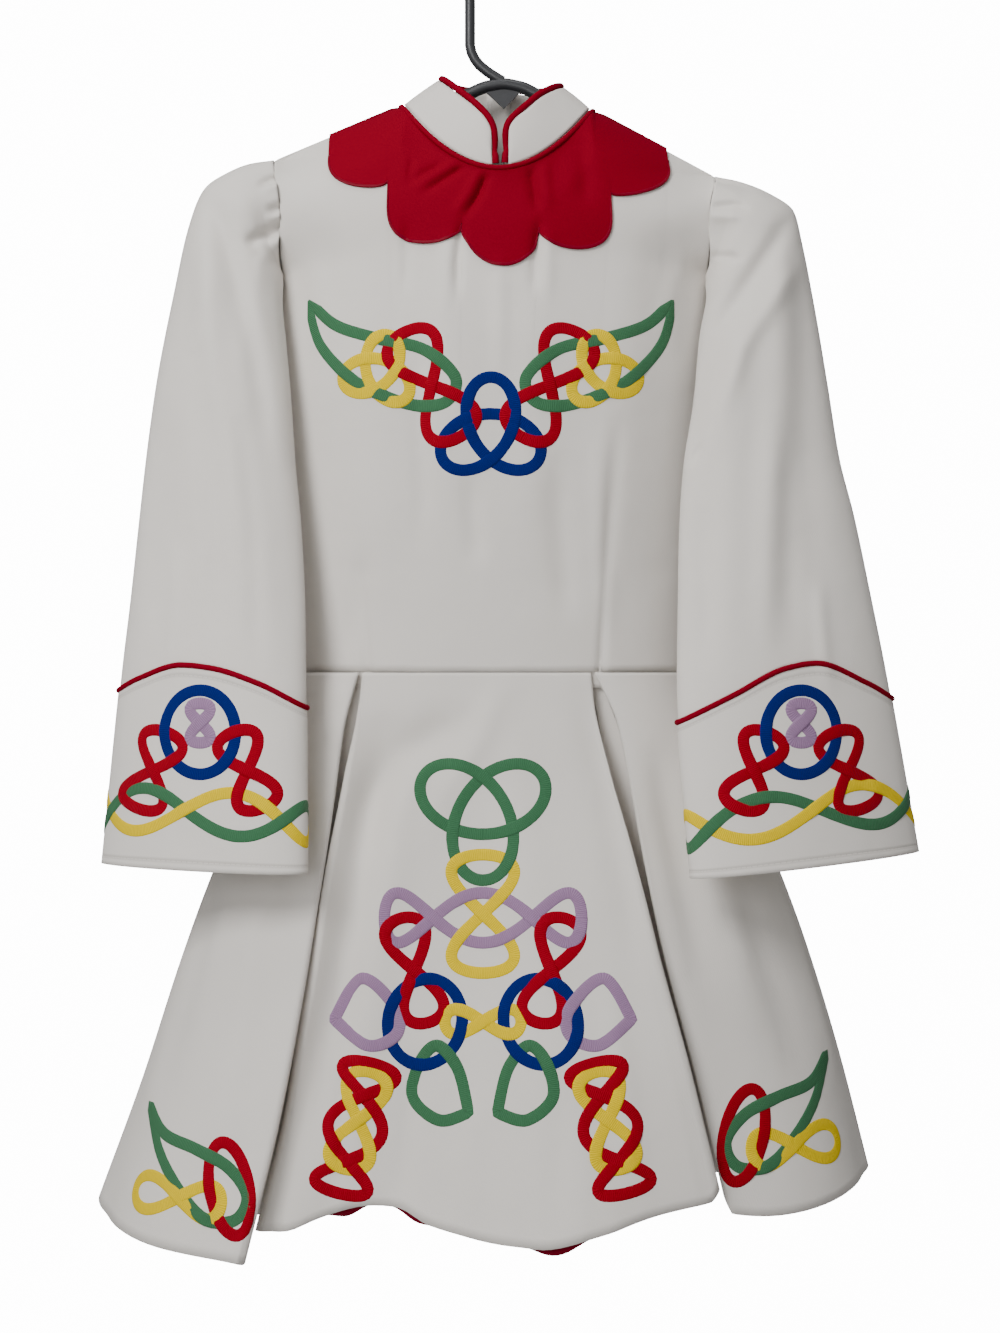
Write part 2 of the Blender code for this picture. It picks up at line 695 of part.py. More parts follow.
# ---- skirt -------------------------------------------------------------------------
def fold_line(mouth, towards, inner, radius, cells=2):
    """Round the fold at the mouth, then to the inner seam. towards is the way across."""
    turn_x = mouth[0] - towards * radius
    way = 1 if inner[1] > mouth[1] else -1
    points = []
    for k in range(cells + 1):
        angle = math.pi / 2 * k / cells
        points.append((turn_x + towards * radius * math.sin(angle),
                       mouth[1] + way * radius * (1 - math.cos(angle))))
    points += [((points[-1][0] + inner[0]) / 2, (points[-1][1] + inner[1]) / 2), inner]
    return points


def skirt_ring(at):
    """Each panel's points in plan at one fraction of the skirt's length."""
    row = dict(zip(SKIRT[0], read(SKIRT, "at", at, *list(SKIRT[0]))))
    pleat = dict(zip(PLEAT[0], read(PLEAT, "at", at, *list(PLEAT[0]))))
    side_y = row["side_y"]
    mouths = {}
    for end, x, gore, centre in (
        ("front_left", row["mouth_l"], row["gore_l"], row["centre_l"]),
        ("front_right", row["mouth_r"], row["gore_r"], row["centre_r"]),
        ("back_left", BACK_SEAM - row["half"], row["gore_l"] * 0.85, row["back"] * 0.86),
        ("back_right", BACK_SEAM + row["half"], row["gore_r"] * 0.85, row["back"] * 0.86),
    ):
        face = -1 if end.startswith("front") else 1
        outer = -1 if end.endswith("left") else 1
        gap = pleat["mouth_l" if face > 0 or outer < 0 else "mouth_r"]
        level = face * (gore + centre) / 2
        inside = level - face * pleat["deep"]
        mouths[end] = dict(
            gore=(x + outer * gap, face * gore),
            centre=(x - outer * gap, face * centre),
            gore_in=(x + outer * pleat["wide"], inside),
            centre_in=(x - outer * pleat["wide"], inside),
            outer=outer,
        )
    rings = {}
    bend = 1.22
    for name, side_x, a, b in (
        ("gore_left", row["left"], "back_left", "front_left"),
        ("gore_right", row["right"], "front_right", "back_right"),
    ):
        line = []
        for end, swap in ((a, True), (b, False)):
            m = mouths[end]
            fold = fold_line(m["gore"], -m["outer"], m["gore_in"], pleat["round"])
            arc = []
            for k in range(1, 6):
                angle = math.pi / 2 * k / 6
                arc.append((mix(fold[0][0], side_x, math.cos(angle) ** bend),
                            mix(side_y, fold[0][1], math.sin(angle) ** bend)))
            part = arc + fold
            line += part[::-1] if swap else [(side_x, side_y)] + part
        rings[name] = line
    fl, fr, bl, br = (mouths[e] for e in ("front_left", "front_right", "back_left", "back_right"))
    start = fold_line(fl["centre"], -1, fl["centre_in"], pleat["round"])[::-1]
    end = fold_line(fr["centre"], 1, fr["centre_in"], pleat["round"])
    middle = []
    for k in range(1, 14):
        t = k / 14
        base = mix(start[-1][1], end[0][1], t)
        bulge = (row["front"] - (row["centre_l"] + row["centre_r"]) / 2) * 4 * t * (1 - t)
        wave = sum(w["depth"] * bell(t - w["across"], w["width"]) for w in CENTRE_WAVES)
        middle.append((mix(start[-1][0], end[0][0], t), base - bulge - wave * at**1.3))
    rings["centre_front"] = start + middle + end
    start = fold_line(br["centre"], 1, br["centre_in"], pleat["round"])[::-1]
    end = fold_line(bl["centre"], -1, bl["centre_in"], pleat["round"])
    middle = []
    for k in range(1, 16):
        t = k / 16
        base = mix(start[-1][1], end[0][1], t)
        bulge = (row["back"] - row["back"] * 0.86) * 4 * t * (1 - t)
        wave = sum(w["depth"] * bell(t - w["across"], w["width"]) for w in BACK_WAVES)
        middle.append((mix(start[-1][0], end[0][0], t), base + bulge + wave * at**1.3))
    whole = start + middle + end
    half = len(whole) // 2
    rings["back_right"], rings["back_left"] = whole[: half + 1], whole[half:]
    for name, a, b in (
        ("underlay_front_left", fl["gore_in"], fl["centre_in"]),
        ("underlay_front_right", fr["centre_in"], fr["gore_in"]),
        ("underlay_back_right", br["gore_in"], br["centre_in"]),
        ("underlay_back_left", bl["centre_in"], bl["gore_in"]),
    ):
        rings[name] = [a, ((a[0] + b[0]) / 2, (a[1] + b[1]) / 2), b]
    return rings


def skirt_grids():
    steps = [(i / SKIRT_ROWS) ** 1.2 for i in range(SKIRT_ROWS + 1)]
    rings = [skirt_ring(at) for at in steps]
    grids = {}
    for name in rings[0]:
        grid = []
        for at, ring in zip(steps, rings):
            line = []
            for j, (x, y) in enumerate(ring[name]):
                t = j / (len(ring[name]) - 1)
                hem = smooth([h[0] for h in HEMS[name]], [h[1] for h in HEMS[name]], t)
                line.append(spot(x, y, mix(WAIST + 0.6, hem, at)))
            grid.append(line)
        grids[name] = grid
    return grids


def skirt(white, red):
    grids = skirt_grids()
    normals = {name: normals_of(grid) for name, grid in grids.items()}
    shared = normals_of(grids["back_right"], grids["back_left"])
    for name, grid in grids.items():
        if name.startswith("underlay"):
            cloth("pleat_" + name, grid, normals[name], white, left=1.0, right=1.0)
        elif name == "centre_front":
            cloth("skirt_centre_front", grid, normals[name], white)
        elif name.startswith("gore"):
            cloth("skirt_" + name, grid, normals[name], white)
    for name, last in (("back_right", -1), ("back_left", 0)):
        grid = [list(line) for line in grids[name]]
        for i, line in enumerate(grid):
            room = ZIP_GAP if i <= ZIP_IN_SKIRT else PULL
            beside = line[-2] if last else line[1]
            line[last] = line[last] + (beside - line[last]).normalized() * room
        for i, line in enumerate(grid):
            shared[key_of(line[last])] = shared[key_of(grids[name][i][last])]
        cloth("skirt_" + name, grid, shared, white)
    lining(grids["centre_front"], normals["centre_front"], red)
    return grids, shared


def lining(grid, normals, red):
    """A red strip inside the front hem, which shows below it in three places."""
    hem, above = grid[-1][4:-4], grid[-2][4:-4]
    out = [normals[key_of(p)].normalized() for p in hem]
    rows = []
    for share in (1.0, 0.5, 0.0):
        line = []
        for j, (low, high, n) in enumerate(zip(hem, above, out)):
            t = j / (len(hem) - 1)
            peek = sum(p["below"] * bell(t - p["across"], p["width"]) for p in LINING_PEEKS)
            edge = low + (high - low).normalized() * (1.5 - peek)
            top = low + (high - low).normalized() * LINING_HEIGHT
            line.append(edge.lerp(top, share) - n * (WALL + 0.8))
        rows.append(line)
    cloth("skirt_lining", rows, normals_of(rows), red, wall=1.0)


# ---- zip ---------------------------------------------------------------------------
def zip_line(back, middle, skirt_back):
    """The centre-back line from the collar to the skirt, with outward normals."""
    collar_rows = collar_grid(COLLAR_LEFT, -1)
    points = [line[0].copy() for line in collar_rows[1:]]
    for point in points:
        point.x = -1.0
    points += [line[middle] for line in back]
    points += [line[-1] for line in skirt_back[1 : ZIP_IN_SKIRT + 1]]
    found = []
    for i, point in enumerate(points):
        ahead = points[min(i + 1, len(points) - 1)] - points[max(i - 1, 0)]
        found.append((point, Vector((1, 0, 0)).cross(ahead).normalized()))
    return found


def strip(name, line, half, outer, thick, finish):
    grid = [[p + Vector((side * half, 0, 0)) for side in (1, 0, -1)] for p, _ in line]
    normals = {}
    for points, (_, n) in zip(grid, line):
        for point in points:
            normals[key_of(point)] = n
    return cloth(name, grid, normals, finish, wall=thick, lift=outer)


def zipper(back, middle, skirt_back, tape, metal):
    line = zip_line(back, middle, skirt_back)
    line = [(p, n if n.y > 0 else -n) for p, n in line]
    strip("zip_tape", line, 9.0, -WALL - 0.9, 1.0, tape)
    outer = -WALL - 0.9 + GAP + CHAIN["thick"]
    strip("zip_chain", line, CHAIN["half"], outer, CHAIN["thick"], metal)
    slider_and_tab(line, metal)


def slider_and_tab(line, metal):
    """Both in a frame on the collar's back: Z up the cloth, Y out of it, pin along X."""
    seat, out = line[0]
    pin = seat + out * (GAP + SLIDER["thick"] + SLIDER["room"])
    tilt = math.atan2(out.z, out.y)
    room, leg = SLIDER["room"], SLIDER["leg"]
    half, high, thick = SLIDER["width"] / 2, SLIDER["height"] / 2, SLIDER["thick"]
    arch = SLIDER["arch_width"] / 2
    plate = block("zip_slider", (-half, -room - thick, -high), (half, -room, high), metal)
    over = block("arch_form", (-arch, -room - 0.5, -room - leg), (arch, room + leg, room + leg),
                 metal, helper=True)
    under = block("arch_opening", (-arch - 1, -room, -room), (arch + 1, room, room), metal,
                  helper=True)
    combine(plate, over, "UNION")
    combine(plate, under, "DIFFERENCE")
    side, flat = TAB["width"] / 2, TAB["thick"] / 2
    tab = block("zip_tab", (-side, -flat, -TAB["length"]), (side, flat, flat), metal)
    inside = TAB["window_width"] / 2
    window = block("tab_window", (-inside, -2, -TAB["window"]), (inside, 2, -flat), metal,
                   helper=True)
    combine(tab, window, "DIFFERENCE")
    for obj in (plate, over, under, tab, window):
        obj.location = pin * MM
        obj.rotation_euler = (tilt, 0, 0)


# ---- hanger ------------------------------------------------------------------------
def hanger(plastic):
    def forward(_):
        return Vector((0, 1, 0))

    centre = Vector((0, 0, -HOOK_BEND + WIRE))
    path = [centre + Vector((math.cos(a), 0, math.sin(a))) * HOOK_BEND
            for a in (math.radians(d) for d in range(-36, 181, 12))]
    path += [spot(-HOOK_BEND, 0, STEM_END * t) for t in (0.55, 0.8)]
    foot = ((-HOOK_BEND, STEM_END), (-19.5, 88), (-13, 95.5), (-5.5, 99))
    path += [spot(x, 0, down) for x, down in foot]
    sweep("hanger_hook", path, WIRE, plastic, forward, sides=8)
    arms = sweep("hanger_arms", [spot(x, 0, down) for x, down in ARM_PATH], ARM, plastic,
                 forward, sides=8)
    mesh = bmesh.new()
    faces = []
    for y in (-1.5, 1.5):
        faces.append([mesh.verts.new(spot(x, y, down) * MM) for x, down in WEB])
    mesh.faces.new(faces[0])
    mesh.faces.new(faces[1][::-1])
    for k in range(3):
        m = (k + 1) % 3
        mesh.faces.new((faces[0][k], faces[1][k], faces[1][m], faces[0][m]))
    web = make_object("web_form", mesh, plastic)
    web.hide_render = True
    web.display_type = "WIRE"
    combine(arms, web, "UNION")


def main():
    for obj in list(bpy.data.objects):
        bpy.data.objects.remove(obj)
    white = paint("ivory_cloth", (0.62, 0.59, 0.55), 0.85)
    red = paint("red_cloth", (0.30, 0.002, 0.012), 0.75)
    metal = paint("zip_metal", (0.55, 0.53, 0.48), 0.35, 1.0)
    plastic = paint("grey_plastic", (0.035, 0.037, 0.04), 0.4)
    back, middle = bodice_and_yoke(white, red)
    collar(white, red)
    sleeve("left", SLEEVE_LEFT, -1, white, red)
    sleeve("right", SLEEVE_RIGHT, 1, white, red)
    grids, _ = skirt(white, red)
    zipper(back, middle, grids["back_right"], white, metal)
    hanger(plastic)


main()
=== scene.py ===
"""Looks of an Irish dance dress that hangs on a plain hanger.

Metres in Blender, Z up, the wearer's front faces -Y, and the origin is the inner top of
the hook. Tables are in millimetres, and "down" is the height below the origin. Each
cloth piece is a grid of points on the same curves as its solid, with finer creases.
"""

import bisect
import math

import bmesh
import bpy
from mathutils import Matrix, Vector
from mathutils.bvhtree import BVHTree


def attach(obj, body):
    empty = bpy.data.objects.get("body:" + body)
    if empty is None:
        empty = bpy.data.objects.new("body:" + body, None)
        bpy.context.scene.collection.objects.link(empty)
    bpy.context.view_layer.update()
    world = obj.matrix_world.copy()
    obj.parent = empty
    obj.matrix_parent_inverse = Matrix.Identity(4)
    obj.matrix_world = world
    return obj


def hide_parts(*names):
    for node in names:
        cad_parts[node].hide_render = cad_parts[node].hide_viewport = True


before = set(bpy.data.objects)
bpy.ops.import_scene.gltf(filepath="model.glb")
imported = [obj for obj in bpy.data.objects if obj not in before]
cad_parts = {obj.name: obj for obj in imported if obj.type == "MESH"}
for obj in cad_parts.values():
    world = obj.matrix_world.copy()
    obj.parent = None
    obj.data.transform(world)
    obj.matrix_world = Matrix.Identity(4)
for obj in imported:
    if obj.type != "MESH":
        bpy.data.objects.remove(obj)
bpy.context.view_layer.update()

MM = 0.001
WALL = 1.6  # face cloth with its lining
TRIM = 1.2  # yoke and zip tape
STAY = 0.6  # one layer, inside a seam
GAP = 0.3
WAIST = 554.0
SKIRT_TOP = WAIST + 0.6
DETAIL = 4  # fine cells for each cell of the solids
BODY = "dress"


def table(columns, *lines):
    """The lines as dictionaries, by the names of the columns."""
    return [dict(zip(columns.split(), line)) for line in lines]


# ---- bodice ------------------------------------------------------------------------
BODICE = table(
    "down left right front back seam_y",
    (160, -172.5, 167.0, 34, 30, 0),
    (180, -170.0, 164.0, 39, 33, 1),
    (205, -165.5, 158.0, 43, 35, 3),
    (247, -167.2, 159.0, 47, 38, 6),
    (264, -168.0, 159.4, 48, 39, 7),
    (310, -165.5, 156.6, 50, 40, 9),
    (400, -160.5, 150.5, 48, 39, 11),
    (480, -155.5, 145.5, 44, 37, 11),
    (WAIST, -151.5, 141.0, 42, 36, 8),
)
NECK = dict(left_x=-74.5, left_down=124.6, right_x=70.0, right_down=127.8)
NECK_DROP = {-1: 53.5, 1: 24.0}  # below the neck's side points, front and back
NECK_DEPTH = {-1: 40.0, 1: 30.0}
NECK_MIDDLE = (NECK["left_x"] + NECK["right_x"]) / 2
NECK_HALF = (NECK["right_x"] - NECK["left_x"]) / 2
TIP = dict(left_x=-172.5, left_down=165.7, right_x=164.2, right_down=178.0)
UNDERARM = 247.0
ARMHOLE_DEPTH = 25.0
EDGE_CROWD = (3.0, 0.3)  # columns crowd this near an edge: at the armhole and below it
UNDERARM_PRESS = 6.0  # the sleeve lies against the bodice just below the armhole
SHOULDER_ROUND = 45.0  # this far below the shoulder seam the bodice has its full depth
SIDE_TAPER = 0.62  # 0.5 is an ellipse from side to side: more is thinner near the sides
# Five scallops, each ending at x, down. The rows of cloth hang below the line between
# the ends. The yoke's own edge droops below it and leans in X.
LOBE_START = (-129.0, 165.0)
LOBES = table(
    "x down hang droop lean",
    (-83.5, 189, 15, 11.5, -12),
    (-28.3, 221, 33, 27.5, -17),
    (29.3, 225, 30, 31, 0),
    (82.5, 198, 31, 26, 17),
    (126.5, 168, 17, 8, 15),
)
LOBE_CELLS = 6
SHOULDER_CELLS = 3
YOKE_ROWS = 3
YOKE_LIFT = 0.45  # between the bodice and the yoke on it
YOKE_AT_TIPS, YOKE_LEAST = 17.5, 12  # how far it reaches down at its ends, and at least
BODY_ROWS = 8
NECK_COLUMNS = (10, 26)
NECK_ROOM = 2.4
SEAM_SHORT = 0.02  # by columns and rows: pieces stop just short of a seam
BODICE_CLOTH = (0.33, 0.41)  # metres across the front and down it
YOKE_LENGTH = 0.09
# Where each named column starts on the top edge and ends on the waist seam.
COLUMN_TOP = {0: -172.5, 3: -129, 9: -84, 10: -74.5, 15: -27, 18: -1, 21: 26, 26: 70,
              27: 80, 33: 126, 36: 164.2}
COLUMN_WAIST = {0: -151.5, 5: -98.5, 18: -8, 29: 74.6, 36: 141}
DARTS = table("column depth top", (5, 2.2, 427), (29, 2.4, 376))
# Soft upright folds: a ridge of depth at x, leaning by lean for each mm down.
FRONT_FOLDS = table(
    "x lean width depth start end",
    (-118, 0.10, 22, 3.0, 190, 520),
    (-38, 0.02, 20, 2.4, 230, 440),
    (28, -0.03, 18, 2.2, 250, 500),
    (104, -0.08, 22, 3.2, 200, 520),
)
BACK_FOLDS = table(
    "x lean width depth start end",
    (-96, 0.08, 24, 2.6, 200, 500),
    (88, -0.06, 24, 2.8, 200, 510),
)

# ---- collar ------------------------------------------------------------------------
# The top edge by the angle round the neck, from centre front to centre back.
COLLAR_LEFT = table(
    "angle x y down",
    (0, -5.8, -37.5, 164),
    (6, -6.6, -38.5, 151.5),
    (13, -10.8, -38.0, 142.3),
    (25, -19.6, -35.0, 132.6),
    (46, -34.0, -26.0, 119.5),
    (68, -43.5, -14.4, 110),
    (90, -47.5, 0.0, 105),
    (120, -42.0, 12.0, 107),
    (150, -25.0, 20.0, 110),
    (180, -3.4, 23.0, 108),
)
COLLAR_RIGHT = table(
    "angle x y down",
    (0, 6.2, -37.5, 163),
    (6, 6.6, -38.5, 151.5),
    (13, 9.8, -38.0, 144),
    (25, 20.5, -35.0, 134.6),
    (42, 31.2, -28.0, 123.8),
    (70, 45.0, -13.0, 114),
    (90, 49.5, 0.0, 110.8),
    (120, 42.0, 12.0, 111.5),
    (150, 24.0, 20.0, 111),
    (180, 3.4, 23.0, 108),
)
COLLAR_RISE = 2.4  # it starts this far above the neck seam
COLLAR_SWELL = 1.5
COLLAR_CORNER = (0, 1.2, 2.6, 4.2, 6, 8.5, 11)  # degrees, close round the front corner
PIPING = dict(collar=2.5, cuff=2.1, neck=2.1, shoulder=2.1)  # its radius on each seam

# ---- sleeves and cuffs -------------------------------------------------------------
SLEEVE_COLUMNS = "at outer_x outer_down inner_x inner_down outer_y inner_y front back"
SLEEVE_LEFT = table(
    SLEEVE_COLUMNS,
    (0.00, -174.0, 165.5, -170.0, 249, 0, 5, 25, 24),
    (0.04, -190.5, 168.5, -170.8, 252, 0, 2, 29, 26),
    (0.08, -206.0, 175.0, -170.4, 256, -1, -2, 31, 27),
    (0.13, -224.5, 188.0, -168.5, 262, -2, -6, 31, 26),
    (0.19, -236.5, 219.0, -165.2, 273, -4, -12, 30, 24),
    (0.27, -246.3, 264.5, -161.7, 298, -6, -19, 29, 22),
    (0.38, -259.3, 333.0, -156.5, 348, -9, -27, 28, 20),
    (0.47, -266.5, 387.0, -152.6, 398, -12, -33, 27, 19),
    (0.56, -272.0, 440.0, -147.5, 448, -15, -40, 27, 18),
    (0.66, -277.8, 500.0, -143.8, 507, -19, -50, 28, 18),
    (0.745, -283.2, 549.0, -142.3, 559, -22, -61, 29, 18),
    (1.00, -297.5, 696.8, -139.5, 699.5, -26, -86, 32, 18),
)
SLEEVE_RIGHT = table(
    SLEEVE_COLUMNS,
    (0.00, 165.7, 177.8, 161.6, 249, 0, 5, 25, 24),
    (0.04, 184.0, 182.5, 162.4, 252, 0, 2, 29, 26),
    (0.08, 204.0, 191.0, 162.0, 256, -1, -2, 31, 27),
    (0.13, 223.0, 205.0, 160.0, 262, -2, -6, 31, 26),
    (0.19, 229.0, 229.0, 156.6, 273, -4, -12, 30, 24),
    (0.27, 238.0, 276.0, 150.3, 300, -6, -19, 29, 22),
    (0.38, 247.6, 336.0, 144.7, 352, -9, -27, 28, 20),
    (0.47, 256.5, 394.0, 136.6, 402, -12, -33, 27, 19),
    (0.56, 266.5, 435.0, 133.0, 449, -15, -40, 27, 18),
    (0.66, 279.3, 499.0, 131.1, 511, -19, -50, 28, 18),
    (0.745, 289.4, 552.0, 129.8, 565, -22, -61, 29, 18),
    (1.00, 312.8, 688.0, 137.8, 703.0, -26, -86, 32, 18),
)
# The cuff seam across the front, from the outer edge (0) to the inner edge (1).
CUFF_SEAM = table(
    "across left right",
    (0.00, 568.0, 573.0),
    (0.12, 559.0, 562.0),
    (0.35, 549.0, 548.5),
    (0.50, 551.0, 552.0),
    (0.75, 561.5, 570.2),
    (1.00, 579.4, 589.6),
)
CUFF_STEP = 0.9  # how far the cuff stands out from the sleeve
CUFF_PIPING_OUT = 0.7  # the same for the middle of its piping
CUFF_SEAM_GAP = 0.0012  # by the sleeve's length, on each side of the cuff's seam
HEAD_TUCK = 2.2  # the sleeve's head starts this far inside the armhole's line
HEAD_PRESS = (4.5, 3.0)  # and so much further halfway down it, in front and at the back
GATHERS, GATHER_DEPTH = 3, 1.6  # soft gathers across each half of a sleeve head
FINE_GATHERS, FINE_DEPTH = 14, 1.1  # and the fine ones between them at the back
SLEEVE_FOLDS = table(  # diagonal folds: where round, turn, width, depth, from, to
    "round turn width depth start end",
    (0.17, 0.16, 0.050, 4.5, 0.12, 0.74),
    (0.31, 0.05, 0.045, 3.5, 0.20, 0.80),
    (0.66, 0.10, 0.050, 4.0, 0.15, 0.70),
    (0.83, -0.08, 0.050, 3.5, 0.22, 0.78),
)

# ---- skirt -------------------------------------------------------------------------
# By the fraction of its length: side seams, pleat mouths, and how deep each line lies.
SKIRT = table(
    "at left right mouth_l mouth_r side_y front back gore_l gore_r centre_l centre_r half",
    (0.00, -151.5, 141, -104, 69, 8, 42, 36, 33, 37, 33, 37, 92),
    (0.10, -170, 160, -111.5, 80.5, 9, 45, 40, 38, 40, 37, 42, 99),
    (0.25, -197, 189, -121, 93.5, 11, 50, 48, 49, 47, 45, 53, 110.5),
    (0.40, -223, 214, -131, 105.8, 13, 60, 56, 62, 55, 54, 66, 122),
    (0.55, -245, 235, -140.5, 118, 15, 71, 66, 75, 62, 61, 77, 134),
    (0.77, -274, 260.5, -157, 139.5, 18, 88, 82, 93, 72, 70, 92, 151),
    (1.00, -308, 283, -180, 160, 20, 108, 98, 110, 84, 80, 100, 172),
)
BACK_SEAM = -8.0  # the centre-back seam, with the back pleats half a width beside it
BACK_GORE, BACK_EDGE = 0.85, 0.86  # back pleats' edges, as shares of the gore and back
SIDE_CELLS = 6 * DETAIL
SIDE_BEND = 1.22  # 1 is an ellipse: more draws the sides in
PLEAT = table(  # half gaps of the mouths, depth, half width inside, radius of the folds
    "at mouth_l mouth_r deep wide round",
    (0.0, 1.2, 1.2, 9, 4, 2.4),
    (0.1, 4.4, 6.6, 15, 8, 2.8),
    (0.2, 3.4, 5.6, 22, 12, 3.2),
    (0.35, 2.2, 3.2, 31, 17, 3.9),
    (0.5, 1.9, 2.0, 38, 22, 4.5),
    (1.0, 1.8, 1.8, 56, 32, 6.5),
)
SKIRT_ROWS = 8
ROW_CROWD = 1.2  # more than 1 draws the rows up towards the waist
SKIRT_CLOTH = dict(centre_front=(0.46, 0.41), gore_left=(0.46, 0.42), gore_right=(0.46, 0.40),
                   back_right=(0.24, 0.40), back_left=(0.24, 0.40))  # metres
UNDERLAY_CLOTH = (0.064, 0.40)
# Hem heights along each panel, from its first to its last edge.
HEMS = {
    "gore_left": ((0, 945), (0.14, 950), (0.5, 956), (0.7, 971), (0.86, 977), (1, 965)),
    "centre_front": ((0, 950), (0.1, 960), (0.2, 960), (0.33, 940), (0.37, 940.5),
                     (0.42, 952), (0.5, 960.5), (0.575, 962.5), (0.65, 954), (0.74, 941),
                     (0.82, 934), (0.9, 926), (1, 924)),
    "gore_right": ((0, 924), (0.12, 934), (0.2, 946), (0.27, 950), (0.5, 932), (0.86, 946),
                   (1, 938)),
    "back_right": ((0, 940), (0.2, 946), (0.6, 958), (1, 950)),
    "back_left": ((0, 950), (0.4, 944), (0.8, 956), (1, 946)),
    "underlay_front_left": ((0, 965), (1, 950)),
    "underlay_front_right": ((0, 924), (1, 924)),
    "underlay_back_right": ((0, 938), (1, 940)),
    "underlay_back_left": ((0, 946), (1, 945)),
}
# Waves of the centre panel: ridge at a fraction across it, growing to depth at the hem.
CENTRE_WAVES = table("across width depth", (0.24, 0.16, -16), (0.70, 0.20, 15))
BACK_WAVES = table("across width depth", (0.35, 0.16, -12), (0.72, 0.16, 10))
PANEL_LENGTH = 400.0  # of the centre front, about
LINING_HEIGHT = 34.0
LINING_DEPTH = WALL + 0.6  # how far it lies inside the outer face
LINING_PEEKS = table("across width below", (0.19, 0.04, 7), (0.33, 0.04, 6), (0.66, 0.06, 7))

# ---- zip ---------------------------------------------------------------------------
ZIP_GAP = 3.2  # half the opening between the back edges
ZIP_COLUMN = ZIP_GAP / 9.5  # the same as a share of a column of the bodice
ZIP_CLOSES = (0.29, 0.34)  # by the skirt's length: where the opening ends
ZIP_END = 0.31
ZIP_X = -1.0  # where the zip's middle crosses the collar
TAPE_DEPTH = WALL + 0.9  # how far the tape lies inside the back
TAPE_HALF = 9
CHAIN = dict(wide=2.852, tall=1.04, thick=1.5, aside=0.874, step=1.6)  # one tooth

# ---- hanger ------------------------------------------------------------------------
WIRE = 4.0  # radius of the hook
HOOK_BEND = 22.8  # radius of the hook's centre line
STEM_END = 78.0
HOOK_FOOT = ((-21.6, 83.5), (-19.2, 88.4), (-16, 92.6), (-12.4, 95.8), (-9, 98.4),
             (-5, 101), (-1, 103.5), (2, 105.2))  # where the stem runs into the arms
ARM = 4.6
ARM_PATH = ((-160, 178), (-118, 157.5), (-74.5, 139), (-30, 118), (-12, 109.5),
            (3.5, 107), (18, 110), (32, 117.5), (70, 141), (112, 163), (152, 187))
WEB = ((-16, 109), (20, 109), (3, 126))
WEB_HALF = 1.5


# ---- finer creases -----------------------------------------------------------------
# On the back each is a soft ridge, or a trough with depth below 0, turned from upright.
BODICE_CREASES = table(
    "x down turn length width depth bow",
    (-70, 330, 8, 160, 9, -1.2, 4),
    (62, 360, -7, 170, 9, -1.3, -4),
    (-118, 280, -22, 90, 6, 1.4, 6),
    (112, 276, 24, 90, 6, 1.4, -6),
    (30, 470, 84, 120, 5, -0.9, 5),
    (-64, 500, 80, 90, 5, -0.8, -4),
)
SLEEVE_CREASES = table(
    "round turn width depth start end",
    (0.60, 0.16, 0.024, -1.8, 0.00, 0.40),
    (0.68, 0.10, 0.016, 1.4, 0.00, 0.30),
    (0.76, -0.12, 0.026, 1.7, 0.20, 0.66),
    (0.84, -0.10, 0.030, -2.2, 0.02, 0.60),
    (0.90, 0.12, 0.026, -1.5, 0.10, 0.60),
    (0.66, -0.08, 0.030, -1.8, 0.45, 0.98),
)
